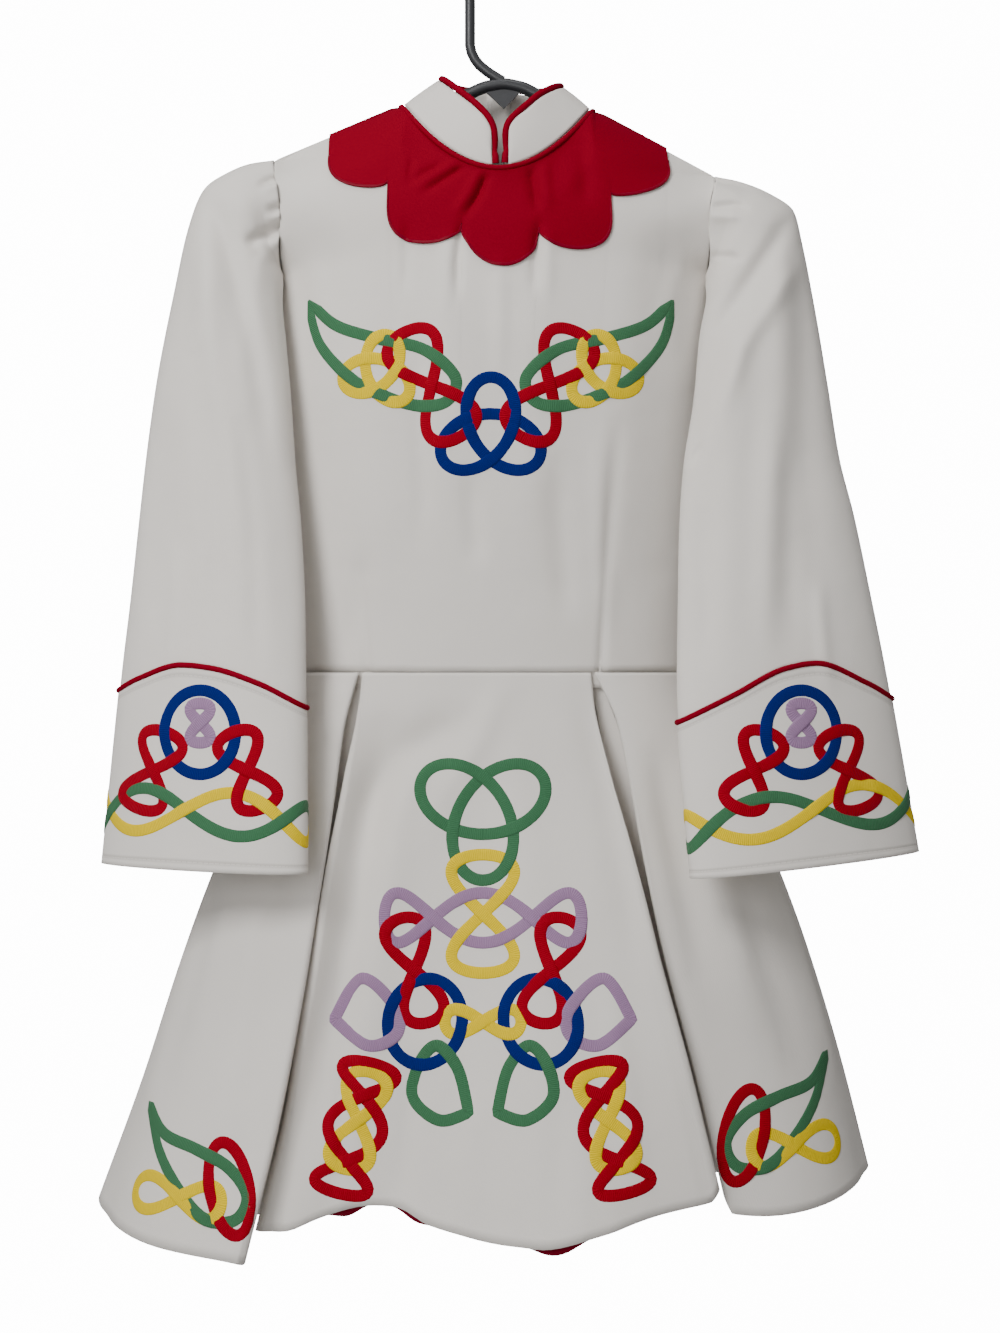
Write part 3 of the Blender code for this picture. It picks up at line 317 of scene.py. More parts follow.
# Creases placed on each part: width, depth, and the line, in x and down, that
# each follows. A depth below 0 is a trough.
CREASE_DEPTH = 1.7
CREASES = dict(
    sleeve_left=(
        (3.4, -3, ((-160, 179), (-172, 184), (-184, 192))),
        (2.6, 1, ((-161, 187), (-170, 190), (-181, 196))),
        (3.2, -2.6, ((-160, 203), (-167, 206), (-176, 210))),
        (2.8, 1, ((-158, 210), (-167, 213), (-178, 216))),
        (4.4, -3.8, ((-157, 218), (-170, 222), (-184, 231), (-190, 239))),
        (5, 1.6, ((-159, 228), (-170, 234), (-178, 248), (-178, 277))),
        (9, -3, ((-220, 195), (-208, 222), (-196, 260), (-183, 312), (-175, 363), (-170, 404))),
        (9, 1.8, ((-190, 248), (-178, 299), (-167, 352), (-161, 404), (-157, 471))),
        (12, 1.8, ((-227, 225), (-214, 292), (-202, 366), (-190, 441), (-178, 516))),
        (10, -1.6, ((-224, 322), (-215, 404), (-208, 486), (-205, 546))),
        (8, -1.4, ((-191, 374), (-182, 441), (-178, 516), (-176, 568))),
        (12, -1.5, ((-254, 366), (-257, 441), (-261, 531))),
        (7, 1.2, ((-239, 471), (-241, 531), (-242, 576))),
    ),
    sleeve_right=(
        (3.4, -2.8, ((158, 181), (169, 184), (182, 187), (196, 192))),
        (2.8, 1.1, ((158, 192), (172, 193), (185, 198))),
        (3.2, -2.4, ((160, 205), (175, 204), (188, 208))),
        (3.2, 1.1, ((158, 213), (170, 214), (184, 214))),
        (2.6, -2.2, ((161, 241), (172, 243), (182, 248))),
        (8, -3.2, ((218, 211), (203, 238), (184, 266), (166, 293), (154, 316))),
        (7, -2.6, ((158, 299), (151, 331), (146, 359), (142, 390), (140, 404))),
        (8, 2.4, ((224, 248), (200, 281), (178, 316), (163, 359), (154, 411))),
        (2.6, -1.6, ((149, 387), (144, 395), (139, 404))),
        (14, -2, ((229, 239), (226, 299), (224, 374), (229, 456), (233, 531))),
        (10, 1.6, ((202, 366), (197, 441), (194, 508), (197, 568))),
        (10, -1.8, ((214, 396), (212, 471), (214, 546))),
        (6, 1.4, ((235, 493), (238, 538), (242, 576))),
        (8, -1.3, ((149, 441), (151, 501), (149, 561))),
    ),
    bodice_front=(
        (3.4, -2.2, ((-9, 182), (-16, 200), (-28, 221))),
        (3.4, 1.2, ((-15, 182), (-24, 200), (-36, 220))),
        (3.2, -1.7, ((-24, 176), (-42, 188), (-63, 203))),
        (3, 1, ((-28, 172), (-48, 185), (-67, 197))),
        (2.8, -1.4, ((-43, 176), (-57, 184), (-70, 194))),
        (2.6, -1.1, ((-66, 172), (-67, 182), (-68, 194))),
        (4, -1.6, ((22, 179), (25, 196), (28, 217))),
        (4, 1, ((33, 176), (34, 196), (37, 214))),
        (7, -1.4, ((62, 164), (63, 188), (63, 212))),
        (3.2, -2.2, ((-29, 223), (-31, 249), (-31, 282))),
        (5, 1.2, ((-38, 233), (-40, 263), (-40, 293))),
        (4, -1.5, ((-69, 222), (-69, 249), (-70, 278))),
        (4, -2, ((28, 224), (26, 249), (25, 278))),
        (5, 1.1, ((36, 230), (36, 255), (36, 287))),
        (6, 1.2, ((0, 252), (0, 293), (1, 352))),
        (7, -1.8, ((-153, 249), (-149, 293), (-142, 352))),
        (8, 1.5, ((-144, 240), (-133, 278), (-121, 315))),
        (7, -1.6, ((149, 248), (142, 285), (137, 337))),
        (7, 1.4, ((140, 240), (128, 270), (119, 307))),
        (8, -1.4, ((-61, 300), (-60, 367), (-57, 427), (-60, 471))),
        (8, -1.6, ((-22, 412), (-19, 449), (-16, 479))),
        (10, -1.7, ((42, 404), (45, 449), (49, 494), (52, 523))),
        (8, 1.3, ((74, 382), (74, 441), (77, 501), (82, 531))),
        (6, -1.2, ((88, 374), (82, 441), (77, 501))),
        (3, -0.6, ((-142, 476), (-104, 479), (-82, 478))),
        (3, -0.6, ((112, 477), (134, 478), (153, 476))),
        (8, -1.5, ((-104, 471), (-110, 516), (-119, 549))),
        (6, 1.2, ((-127, 456), (-133, 501), (-136, 546))),
    ),
    skirt_centre_front=(
        (14, -3.2, ((-33, 591), (-73, 615), (-94, 649), (-107, 700))),
        (12, 2.8, ((-112, 590), (-122, 650), (-133, 720), (-144, 790), (-154, 850),
         (-164, 905))),
        (14, -5.6, ((-88, 600), (-97, 660), (-106, 715), (-115, 775), (-130, 860),
         (-142, 915))),
        (6, -2, ((-106, 781), (-114, 861), (-119, 949))),
        (12, -2.2, ((63, 578), (81, 649), (94, 722), (104, 795))),
        (10, 1.5, ((-18, 861), (-22, 913), (-23, 972))),
        (8, -2, ((-62, 839), (-68, 898), (-70, 953))),
        (10, -1.6, ((44, 854), (41, 913), (41, 977))),
        (9, 1.4, ((78, 781), (90, 861), (100, 961))),
        (10, 1.4, ((0, 568), (-15, 605), (-44, 649), (-59, 700))),
    ),
    skirt_gore_left=(
        (10, -2.4, ((-210, 707), (-225, 766), (-241, 825), (-257, 883))),
        (12, 2, ((-172, 707), (-186, 795), (-200, 876), (-206, 927))),
        (8, -2, ((-153, 619), (-166, 707), (-181, 803))),
        (9, 1.6, ((-230, 766), (-251, 839), (-272, 905))),
    ),
    skirt_gore_right=(
        (9, -2.2, ((117, 619), (139, 722), (156, 803))),
        (12, 2, ((141, 605), (169, 722), (192, 854))),
        (10, -1.8, ((180, 715), (206, 795), (229, 883))),
        (10, 1.4, ((214, 715), (242, 810), (258, 883))),
    ),
)
# Soft folds of the skirt: where across a panel, how they lean, and how far they stand out.
SKIRT_FOLDS = table(
    "panel across lean width depth start end",
    ("centre_front", 0.30, -0.05, 0.05, 3.0, 0.10, 1.1),
    ("centre_front", 0.46, 0.02, 0.06, -3.0, 0.25, 1.1),
    ("centre_front", 0.60, 0.04, 0.05, 2.6, 0.05, 1.1),
    ("gore_left", 0.62, 0.06, 0.06, 3.4, 0.08, 1.1),
    ("gore_left", 0.74, 0.04, 0.05, -3.0, 0.15, 1.1),
    ("gore_left", 0.36, -0.04, 0.06, 3.0, 0.10, 1.1),
    ("gore_right", 0.26, -0.04, 0.05, -3.0, 0.12, 1.1),
    ("gore_right", 0.38, -0.05, 0.06, 3.2, 0.08, 1.1),
    ("gore_right", 0.66, 0.04, 0.06, 3.0, 0.10, 1.1),
    ("back_right", 0.45, -0.03, 0.10, 3.4, 0.10, 1.1),
    ("back_right", 0.72, 0.04, 0.09, -3.0, 0.20, 1.1),
    ("back_left", 0.35, 0.03, 0.10, 3.2, 0.10, 1.1),
    ("back_left", 0.66, -0.04, 0.09, -3.0, 0.20, 1.1),
)
# Small waves that only the last part of a panel has, above its stitched hem.
PUCKERS = table(
    "panel across width depth",
    ("centre_front", 0.22, 0.016, 2.0),
    ("centre_front", 0.27, 0.014, -1.6),
    ("centre_front", 0.33, 0.016, 1.6),
    ("centre_front", 0.55, 0.020, -1.3),
    ("centre_front", 0.68, 0.018, 1.6),
    ("gore_left", 0.58, 0.020, -1.5),
    ("gore_left", 0.80, 0.018, 1.5),
    ("gore_right", 0.20, 0.018, 1.4),
    ("gore_right", 0.44, 0.020, -1.5),
    ("back_right", 0.50, 0.030, 1.5),
    ("back_left", 0.55, 0.030, -1.5),
)
# Where the hem hangs lower or higher between its own points.
HEM_DIPS = table(
    "panel across width down",
    ("centre_front", 0.25, 0.02, -1.2),
    ("centre_front", 0.31, 0.02, 0.9),
    ("centre_front", 0.47, 0.03, -0.8),
)

# ---- looks -------------------------------------------------------------------------
IVORY = (0.70, 0.665, 0.62)
IVORY_SHADE = (0.64, 0.60, 0.555)
# painted shade: the dark colour laid into the stitch grooves
IVORY_GROOVE_SHADE = (0.34, 0.31, 0.28)
RED = (0.215, 0.0, 0.011)
RED_BRIGHT = (0.18, 0.0, 0.012)
SILKS = dict(red=(0.33, 0.0, 0.013), green=(0.052, 0.165, 0.078), yellow=(0.84, 0.60, 0.0),
             blue=(0.003, 0.014, 0.155), lilac=(0.33, 0.20, 0.34))
# Weave and stitches, in metres.
IVORY_PITCH, RED_PITCH, RIB_HEIGHT = 0.0011, 0.001, 0.00012
SILK_PITCH, SILK_HEIGHT = 0.0014, 0.00018
STITCH_LENGTH, STITCH_SPACE, STITCH_HALF = 0.0015, 0.00028, 0.0006
GROOVE_DEPTH = 0.0005
STRAND = dict(half=4.6, crown=0.5, step=2.0)  # half width, height, and space of its points
EDGING = dict(half=1.5, crown=0.55, step=1.6)  # the narrow row along the yoke's scallops
STRAND_SHAPE = (-1, -0.93, -0.72, -0.35, 0.35, 0.72, 0.93, 1)  # by its half width
STRAND_SINK = 0.3  # its sides go this far into the cloth
OVER_WIDTH, OVER_ROOM = 7.5, 0.35  # how one strand rises over another
CORNER_REACH = 13  # a strand grows narrow this near a sharp corner
CUFF_KNOTS = dict(left=(-228, 612), right=(229, 612))
CUFF_ROUND = 60  # of cloth, about, for each radian round the cuff
CUFF_STITCHES = (0.0065, 0.1432)  # metres down the cuff
TWIST_AT = 0.70  # how far down the cuff the twist of two strands runs
TWIST_SWING, TWISTS = 0.11, 3  # by the cuff's length, and in one round of the cuff
GORE_KNOTS = (("left", (-230, 936), -2, 1), ("right", (210, 896), 4, -1))
BACKDROP = ((-3.2, -1.30), (2.2, -1.30), (2.55, -1.22), (2.75, -1.02), (2.8, -0.7),
            (2.8, 4.0))  # its section as y and z in metres
BACKDROP_HALF = 4.0
BACKDROP_GLOW = 14.0
WORLD_GLOW = 0.34
VIEW_DISTANCE, VIEW_LEVEL, VIEW_HEIGHT = 1.75, -0.550, 1.0131
LAMPS = (  # name, place, aim, size, power
    ("key", (-1.1, -1.8, 0.8), (0, 0, -0.5), (0.8, 0.8), 50),
    ("fill", (-0.7, -2.1, -0.35), (0, 0, -0.5), (0.9, 0.9), 15),
    ("top", (0.1, -0.6, 1.5), (0, 0, -0.5), (0.9, 0.6), 10),
)


# ---- numbers -----------------------------------------------------------------------
def clamp(value, low=0.0, high=1.0):
    return max(low, min(high, value))


def mix(a, b, t):
    return a + (b - a) * t


def bell(distance, width):
    return math.exp(-((distance / width) ** 2))


def ease(value, start, end):
    t = clamp((value - start) / (end - start))
    return t * t * (3 - 2 * t)


def smooth(keys, values, at):
    """A curve through the values, which never runs past them."""
    at = clamp(at, keys[0], keys[-1])
    i = min(max(bisect.bisect_right(keys, at) - 1, 0), len(keys) - 2)

    def rise(k):
        return (values[k + 1] - values[k]) / (keys[k + 1] - keys[k])

    def slope(k):
        if k == 0 or k == len(keys) - 1:
            return rise(min(k, len(keys) - 2))
        a, b = rise(k - 1), rise(k)
        return 0 if a * b <= 0 else 2 / (1 / a + 1 / b)

    span = keys[i + 1] - keys[i]
    t = (at - keys[i]) / span
    return (
        values[i] * (2 * t**3 - 3 * t**2 + 1)
        + values[i + 1] * (3 * t**2 - 2 * t**3)
        + span * slope(i) * (t**3 - 2 * t**2 + t)
        + span * slope(i + 1) * (t**3 - t**2)
    )


def read(rows, key, at, *columns):
    """The named columns at one value of the key column."""
    keys = [row[key] for row in rows]
    found = [smooth(keys, [row[column] for row in rows], at) for column in columns]
    return found[0] if len(found) == 1 else found


def straight(knots, at):
    """A straight line between the knots of a dictionary."""
    keys = sorted(knots)
    i = min(max(bisect.bisect_right(keys, at) - 1, 0), len(keys) - 2)
    return mix(knots[keys[i]], knots[keys[i + 1]], (at - keys[i]) / (keys[i + 1] - keys[i]))


def spot(x, y, down):
    return Vector((x, y, -down))


# ---- pieces ------------------------------------------------------------------------
def finish_piece(name, mesh, paint, nodes=(), sharp=60):
    """Makes the object, which rides with the dress and stands in for these solids."""
    data = bpy.data.meshes.new(name)
    mesh.to_mesh(data)
    mesh.free()
    data.materials.append(paint)
    data.shade_smooth()
    data.set_sharp_from_angle(angle=math.radians(sharp))
    obj = bpy.data.objects.new(name, data)
    bpy.context.scene.collection.objects.link(obj)
    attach(obj, BODY)
    if nodes:
        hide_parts(*nodes)
    return obj


def cloth(name, place, across, down, size, paint, nodes=(), wall=WALL, lift=0.0,
          closed=False):
    """A cloth wall: place(u, v) gives the outer face in millimetres, v running down.

    Its UV map is in metres of cloth, so that weave and stitch lines keep their scale.
    """
    mesh = bmesh.new()
    bmesh.ops.create_grid(mesh, x_segments=across, y_segments=down, size=0.5)
    spots = {}
    for vert in mesh.verts:
        u, v = vert.co.x + 0.5, 0.5 - vert.co.y
        spots[vert] = (u, v)
        vert.co = place(u, v) * MM
    layer = mesh.loops.layers.uv.new("cloth")
    for face in mesh.faces:
        for loop in face.loops:
            u, v = spots[loop.vert]
            loop[layer].uv = (u * size[0], v * size[1])
    if closed:
        bmesh.ops.remove_doubles(mesh, verts=mesh.verts, dist=1e-6)
    mesh.normal_update()
    if lift:
        for vert, way in [(v, v.normal.copy()) for v in mesh.verts]:
            vert.co += way * (lift * MM)
    obj = finish_piece(name, mesh, paint, nodes)
    solid = obj.modifiers.new("wall", "SOLIDIFY")
    solid.thickness = wall * MM
    solid.offset = -1
    solid.use_even_offset = False
    return obj


def sweep(name, path, radius, paint, outward, nodes=(), sides=12,
          closed=False):
    """A round cord along the path. outward(point) is never along the cord."""
    mesh = bmesh.new()
    layer = mesh.loops.layers.uv.new("cloth")
    rings, reach, last = [], [0.0], len(path) - 1
    for i, point in enumerate(path):
        before = path[i - 1] if i or closed else point
        after = path[(i + 1) % len(path)] if i < last or closed else point
        ahead = (after - before).normalized()
        side = ahead.cross(outward(point)).normalized()
        up = side.cross(ahead)
        ring = []
        for k in range(sides):
            turn = 2 * math.pi * k / sides
            ring.append(mesh.verts.new(
                (point + (up * math.cos(turn) + side * math.sin(turn)) * radius) * MM))
        rings.append(ring)
        reach.append(reach[-1] + (after - point).length * MM)
    pairs = [(i, (i + 1) % len(rings)) for i in range(len(rings) - (0 if closed else 1))]
    for i, m in pairs:
        for k in range(sides):
            n = (k + 1) % sides
            face = mesh.faces.new((rings[i][k], rings[i][n], rings[m][n], rings[m][k]))
            for loop, (a, b) in zip(face.loops, ((k, i), (k + 1, i), (k + 1, i + 1), (k, i + 1))):
                loop[layer].uv = (a * 2 * math.pi * radius * MM / sides, reach[b])
    if not closed:
        mesh.faces.new(rings[0])
        mesh.faces.new(rings[-1])
    bmesh.ops.recalc_face_normals(mesh, faces=mesh.faces)
    return finish_piece(name, mesh, paint, nodes)


# ---- bodice ------------------------------------------------------------------------
def edges_at(down):
    return read(BODICE, "down", down, "left", "right")


def top_edge(x, face):
    """Height of the shoulder seams and the neck, seen from the front."""
    n = NECK
    if x < n["left_x"]:
        t = (n["left_x"] - x) / (n["left_x"] - TIP["left_x"])
        return mix(n["left_down"], TIP["left_down"], t)
    if x > n["right_x"]:
        t = (x - n["right_x"]) / (TIP["right_x"] - n["right_x"])
        return mix(n["right_down"], TIP["right_down"], t)
    t = (x - n["left_x"]) / (n["right_x"] - n["left_x"])
    return mix(n["left_down"], n["right_down"], t) + NECK_DROP[face] * 4 * t * (1 - t)


def neck_y(x, face):
    t = clamp(abs(x - NECK_MIDDLE) / NECK_HALF)
    return face * NECK_DEPTH[face] * math.sqrt(1 - t * t)


def crease_height(part, x, down):
    """How far the listed creases raise this part at x and down."""
    total, here = 0.0, Vector((x, down))
    for width, depth, line, low, high in CREASES_ON[part]:
        reach = 3 * width
        if not (low[0] - reach < x < high[0] + reach and low[1] - reach < down < high[1] + reach):
            continue
        best, along = 1e9, 0.0
        for k, (a, b) in enumerate(zip(line, line[1:])):
            t = clamp((here - a).dot(b - a) / (b - a).length_squared)
            gap = (here - a.lerp(b, t)).length
            if gap < best:
                best, along = gap, (k + t) / (len(line) - 1)
        total += depth * bell(best, width) * ease(along, -0.15, 0.2) * (1 - ease(along, 0.6, 1))
    return total * CREASE_DEPTH


def laid_out(width, depth, line):
    """A crease with its line as vectors and the corners of the box round that line."""
    low = [min(p[k] for p in line) for k in (0, 1)]
    high = [max(p[k] for p in line) for k in (0, 1)]
    return width, depth, [Vector(p) for p in line], low, high


CREASES_ON = {part: [laid_out(*crease) for crease in found] for part, found in CREASES.items()}


def fine_creases(x, down, face):
    """Small soft creases that the solids leave out, outwards in millimetres."""
    if face < 0:
        return crease_height("bodice_front", x, down)
    total = 0.0
    for c in BODICE_CREASES:
        turn = math.radians(c["turn"])
        dx, dz = x - c["x"], down - c["down"]
        along = dx * math.sin(turn) + dz * math.cos(turn)
        across = dx * math.cos(turn) - dz * math.sin(turn)
        across += c["bow"] * (along / c["length"]) ** 2
        total += c["depth"] * bell(across, c["width"]) * bell(along, c["length"] / 2)
    return total


def upright_folds(x, down, face):
    """The broad soft folds of the bodice, outwards in millimetres."""
    total = 0.0
    for fold in FRONT_FOLDS if face < 0 else BACK_FOLDS:
        middle = fold["x"] + fold["lean"] * (down - fold["start"])
        starts = ease(down, fold["start"], fold["start"] + 60)
        ends = ease(down, fold["end"] - 90, fold["end"])
        total += fold["depth"] * bell(x - middle, fold["width"]) * (starts * (1 - ends))
    return total


def body_y(x, down, face):
    """How far forward or back the bodice lies at x and down; face is -1 or 1."""
    depth_of = "front" if face < 0 else "back"
    left, right, seam_y, depth = read(BODICE, "down", down, "left", "right", "seam_y", depth_of)
    s = clamp((2 * x - left - right) / (right - left), -1, 1)
    tip = TIP["left_down"] if s < 0 else TIP["right_down"]
    t = clamp((down - tip) / (UNDERARM - tip))
    hole = 2 * math.sqrt(t * (1 - t))
    soft = hole**3  # away from the seam the armhole has no corners
    edge = seam_y + face * (ARMHOLE_DEPTH - 1.5) * mix(soft, hole, abs(s) ** 10)
    near = ease(down, tip - 40, tip + 10) * (1 - ease(down, UNDERARM - 10, UNDERARM + 90))
    bend = SIDE_TAPER + 0.18 * near + 0.22 * soft
    rounded = (1 - abs(s) ** 2.2) ** bend
    drop = max(down - top_edge(x, face), 0)
    lift = math.sin(math.pi / 2 * min(1, drop / SHOULDER_ROUND)) ** 0.8
    full = mix(neck_y(x, face), face * depth, lift)
    folds = upright_folds(x, down, face) + fine_creases(x, down, face) * ease(drop, 0, 12)
    return edge + (full - edge) * rounded + face * folds * (1 - abs(s) ** 4)


def scallop(c, own_edge=False):
    """The scallop line's x and height at a column, which may lie between two columns."""
    first, last = SHOULDER_CELLS, SHOULDER_CELLS + LOBE_CELLS * len(LOBES)
    ends = [LOBE_START] + [(lobe["x"], lobe["down"]) for lobe in LOBES]
    if c <= first or c >= last:
        if c <= first:
            x = mix(TIP["left_x"], ends[0][0], c / first)
        else:
            x = mix(ends[-1][0], TIP["right_x"], (c - last) / first)
        return x, top_edge(x, -1) + YOKE_AT_TIPS
    i = min(int((c - first) / LOBE_CELLS), len(LOBES) - 1)
    turn = math.pi * (c - first - i * LOBE_CELLS) / LOBE_CELLS
    t = (1 - math.cos(turn)) / 2
    (xa, da), (xb, db) = ends[i], ends[i + 1]
    swing = math.sin(turn)
    x, down = mix(xa, xb, t), mix(da, db, t)
    if own_edge:
        return x + LOBES[i]["lean"] * swing**2, down + LOBES[i]["droop"] * swing
    return x, down + LOBES[i]["hang"] * swing


COLUMNS = max(COLUMN_TOP)
ROWS = YOKE_ROWS + BODY_ROWS


def neck_room(c, x, face):
    """The panels stop short of the neck seam, more where it is steep, for its piping."""
    first, last = NECK_COLUMNS
    width = NECK["right_x"] - NECK["left_x"]
    slope = NECK_DROP[face] * 4 * (1 - 2 * clamp((x - NECK["left_x"]) / width)) / width
    share = ease(c, first - 1, first) * (1 - ease(c, last, last + 1))
    return NECK_ROOM * 0.55 * math.hypot(1, slope) * share


def inside(x, left, right, soft):
    """x between the edges: columns crowd towards an edge and never lie on it."""
    if x - left < soft:
        return left + soft * math.exp((x - left) / soft - 1)
    if right - x < soft:
        return right - soft * math.exp((right - x) / soft - 1)
    return x


def bodice_spot(c, r, face, own_edge=False):
    """A point at column c and row r. Rows run from the top edge to the waist seam."""
    top_x, waist_x = straight(COLUMN_TOP, c), straight(COLUMN_WAIST, c)
    top = (top_x, top_edge(top_x, face) + neck_room(c, top_x, face))
    lobe = scallop(c, own_edge)
    lobe = (lobe[0], max(lobe[1], top[1] + YOKE_LEAST))
    if r <= YOKE_ROWS:
        a, b, t = top, lobe, r / YOKE_ROWS
    else:
        a, b, t = lobe, (waist_x, WAIST), (r - YOKE_ROWS) / BODY_ROWS
    down, x = mix(a[1], b[1], t), mix(a[0], b[0], t)
    left, right = edges_at(down)
    soft = mix(*EDGE_CROWD, ease(down, UNDERARM - 6, UNDERARM + 20))
    x = inside(x, left, right, soft) if 0 < c < COLUMNS else (left if c <= 0 else right)
    y = body_y(x, down, face)
    for dart in DARTS:
        trough = bell(c - dart["column"], 0.38) * dart["depth"]
        y -= face * trough * ease(down, dart["top"], WAIST)
    return spot(x, y, down)


def bodice(white, red):
    """The front and two back panels, and the yoke that lies on each."""
    fine, rows = COLUMNS * DETAIL, ROWS * DETAIL * 2
    first, last = SHOULDER_CELLS, COLUMNS - SHOULDER_CELLS
    middle = COLUMNS / 2
    made = {}
    for name, face, a, b in (
        ("front", -1, SEAM_SHORT, COLUMNS - SEAM_SHORT),
        ("back_right", 1, COLUMNS - SEAM_SHORT, middle + ZIP_COLUMN),
        ("back_left", 1, middle - ZIP_COLUMN, SEAM_SHORT),
    ):
        def place(u, v, a=a, b=b, face=face):
            return bodice_spot(mix(a, b, u), mix(0.015, ROWS - 0.006, v), face)

        count = round(abs(b - a) / COLUMNS * fine)
        width = abs(b - a) / COLUMNS * BODICE_CLOTH[0]
        made["bodice_" + name] = cloth("cloth_bodice_" + name, place, count, rows,
                                       (width, BODICE_CLOTH[1]), white, ["bodice_" + name])
        c, d = clamp(a, first, last), clamp(b, first, last)

        def put(u, v, c=c, d=d, face=face):
            row = mix(SEAM_SHORT, YOKE_ROWS, v)
            return bodice_spot(mix(c, d, u), row, face, own_edge=True)

        width = abs(d - c) / COLUMNS * BODICE_CLOTH[0]
        made["yoke_" + name] = cloth("cloth_yoke_" + name, put, count + 20, 36,
                                     (width, YOKE_LENGTH), red, ["yoke_" + name], wall=TRIM,
                                     lift=YOKE_LIFT + TRIM)
    for name, a, b in (("left", first, NECK_COLUMNS[0]), ("right", last, NECK_COLUMNS[1])):
        cells = [mix(a, b, k / 24) for k in range(25)]
        path = [(bodice_spot(c, 0, -1) + bodice_spot(c, 0, 1)) / 2 for c in cells]
        sweep("yoke_shoulder_seam_" + name, path, PIPING["shoulder"], red,
              lambda _: Vector((0, -1, 0)))
    return made


def waist_stay(u, v):
    """Seam allowance round the inside of the waist."""
    turn = 2 * math.pi * u
    down = mix(WAIST - 9, WAIST + 12, v)
    left, right = edges_at(min(down, WAIST))
    x = (left + right) / 2 + math.cos(turn) * ((right - left) / 2 - 3.2)
    face = 1 if math.sin(turn) > 0 else -1
    return spot(x, body_y(x, min(down, WAIST), face) - face * 2.2, down)


def armhole_stay(u, v, name, side):
    """Seam allowance round the inside of an armhole."""
    turn = 2 * math.pi * u * -side
    share = 0.05 + 0.94 * (1 - math.cos(turn)) / 2
    down = mix(TIP[name + "_down"], UNDERARM, share)
    edge_x, seam_y = read(BODICE, "down", down, name, "seam_y")
    y = seam_y + math.sin(turn) * (ARMHOLE_DEPTH - 6.5)
    return spot(edge_x - side * mix(7, -7, v), y, down)


def neck_stay(u, v):
    """Seam allowance round the inside of the neck."""
    turn = math.degrees(2 * math.pi * u)
    angle, side = (turn, 1) if turn < 180 else (360 - turn, -1)
    point = neck_spot(min(angle, 179.9), side)
    top = 5 * ease(angle, 12, 30) * (1 - 0.9 * bell(angle - 90, 22))
    inwards = Vector(((NECK_MIDDLE - point.x) * 0.035, -point.y * 0.06, mix(top, -4, v)))
    return point + inwards


def seam_stays(white):
    """Seam allowances inside the waist, armholes and neck, which close the view there."""
    cloth("stay_waist", waist_stay, 160, 6, (0.58, 0.021), white, wall=STAY, closed=True)
    for name, side in (("left", -1), ("right", 1)):
        def hole(u, v, side=side, name=name):
            return armhole_stay(u, v, name, side)

        cloth("stay_armhole_" + name, hole, 60, 4, (0.21, 0.014), white, wall=STAY, closed=True)
    cloth("stay_neck", neck_stay, 120, 4, (0.36, 0.009), white, wall=STAY, closed=True)


# ---- collar ------------------------------------------------------------------------
def neck_spot(angle, side):
    """A point of the neck seam: angle from centre front in degrees, side -1 or 1."""
    x = NECK_MIDDLE + side * NECK_HALF * math.sin(math.radians(angle))
    face = -1 if angle < 90 else 1
    return spot(x, neck_y(x, face), top_edge(x, face))


def collar_spot(rows, side, angle, v):
    """A point of the collar: angle from centre front, v from its top edge to the neck."""
    front = math.degrees(math.asin(side * (rows[0]["x"] - NECK_MIDDLE) / NECK_HALF))
    top = spot(*read(rows, "angle", angle, "x", "y", "down"))
    base = neck_spot(angle + front * max(0, 1 - angle / 90), side)
    seam = side * ZIP_GAP + ZIP_X
    base.x = mix(base.x, seam, ease(angle, 172, 180))
    base = base + (top - base).normalized() * COLLAR_RISE
    point = base.lerp(top, 1 - v)
    swell = COLLAR_SWELL * math.sin(math.pi * v) * (0.6 + 0.4 * math.cos(math.radians(angle * 3)))
    return point + away_from_neck(point) * swell


def away_from_neck(point):
    return Vector((point.x, point.y + 6, 0)).normalized()


def collar_edge(rows, side):
    """Points along the collar's free edge, each with another one inside the collar."""
    found = []
    for k in range(1, 12):
        v = 1 - k / 12
        found.append((collar_spot(rows, side, 0, v), collar_spot(rows, side, 8, v)))
    for angle in COLLAR_CORNER:
        found.append((collar_spot(rows, side, angle, 0),
                      collar_spot(rows, side, angle + 4, 0.35)))
    for angle in (*range(14, 180, 5), 179):
        found.append((collar_spot(rows, side, angle, 0),
                      collar_spot(rows, side, angle, 0.35)))
    return found


def collar_piping(rows, side):
    """The middle line of the piping, which lies just outside the collar's free edge."""
    edge, path = collar_edge(rows, side), []
    for i, (point, within) in enumerate(edge):
        ahead = edge[min(i + 1, len(edge) - 1)][0] - edge[max(i - 1, 0)][0]
        face = ahead.cross(point - within).normalized()
        away = face.cross(ahead).normalized()
        if away.dot(point - within) < 0:
            away = -away
        path.append(point + away * PIPING["collar"] - away_from_neck(point) * (WALL / 2))
    return round_off(path)


def collar(white, red):
    """The two collar halves, their piping, and the piping of the neck seam."""
    for name, rows, side in (("left", COLLAR_LEFT, -1), ("right", COLLAR_RIGHT, 1)):
        def place(u, v, rows=rows, side=side):
            return collar_spot(rows, side, 180 * (u if side > 0 else 1 - u), v)

        cloth("cloth_collar_" + name, place, 90, 14, (0.15, 0.045), white, ["collar_" + name])
        sweep("piping_collar_" + name, collar_piping(rows, side), PIPING["collar"], red,
              away_from_neck, ["collar_piping_" + name])
    path = [neck_spot(a, 1) for a in range(174, 0, -4)]
    path += [neck_spot(a, -1) for a in range(0, 175, 4)]
    path = [p + away_from_neck(p) * 0.9 - Vector((0, 0, 0.3)) for p in path]
    sweep("piping_neck", round_off(path, 3), PIPING["neck"], red, away_from_neck,
          ["neck_piping"])


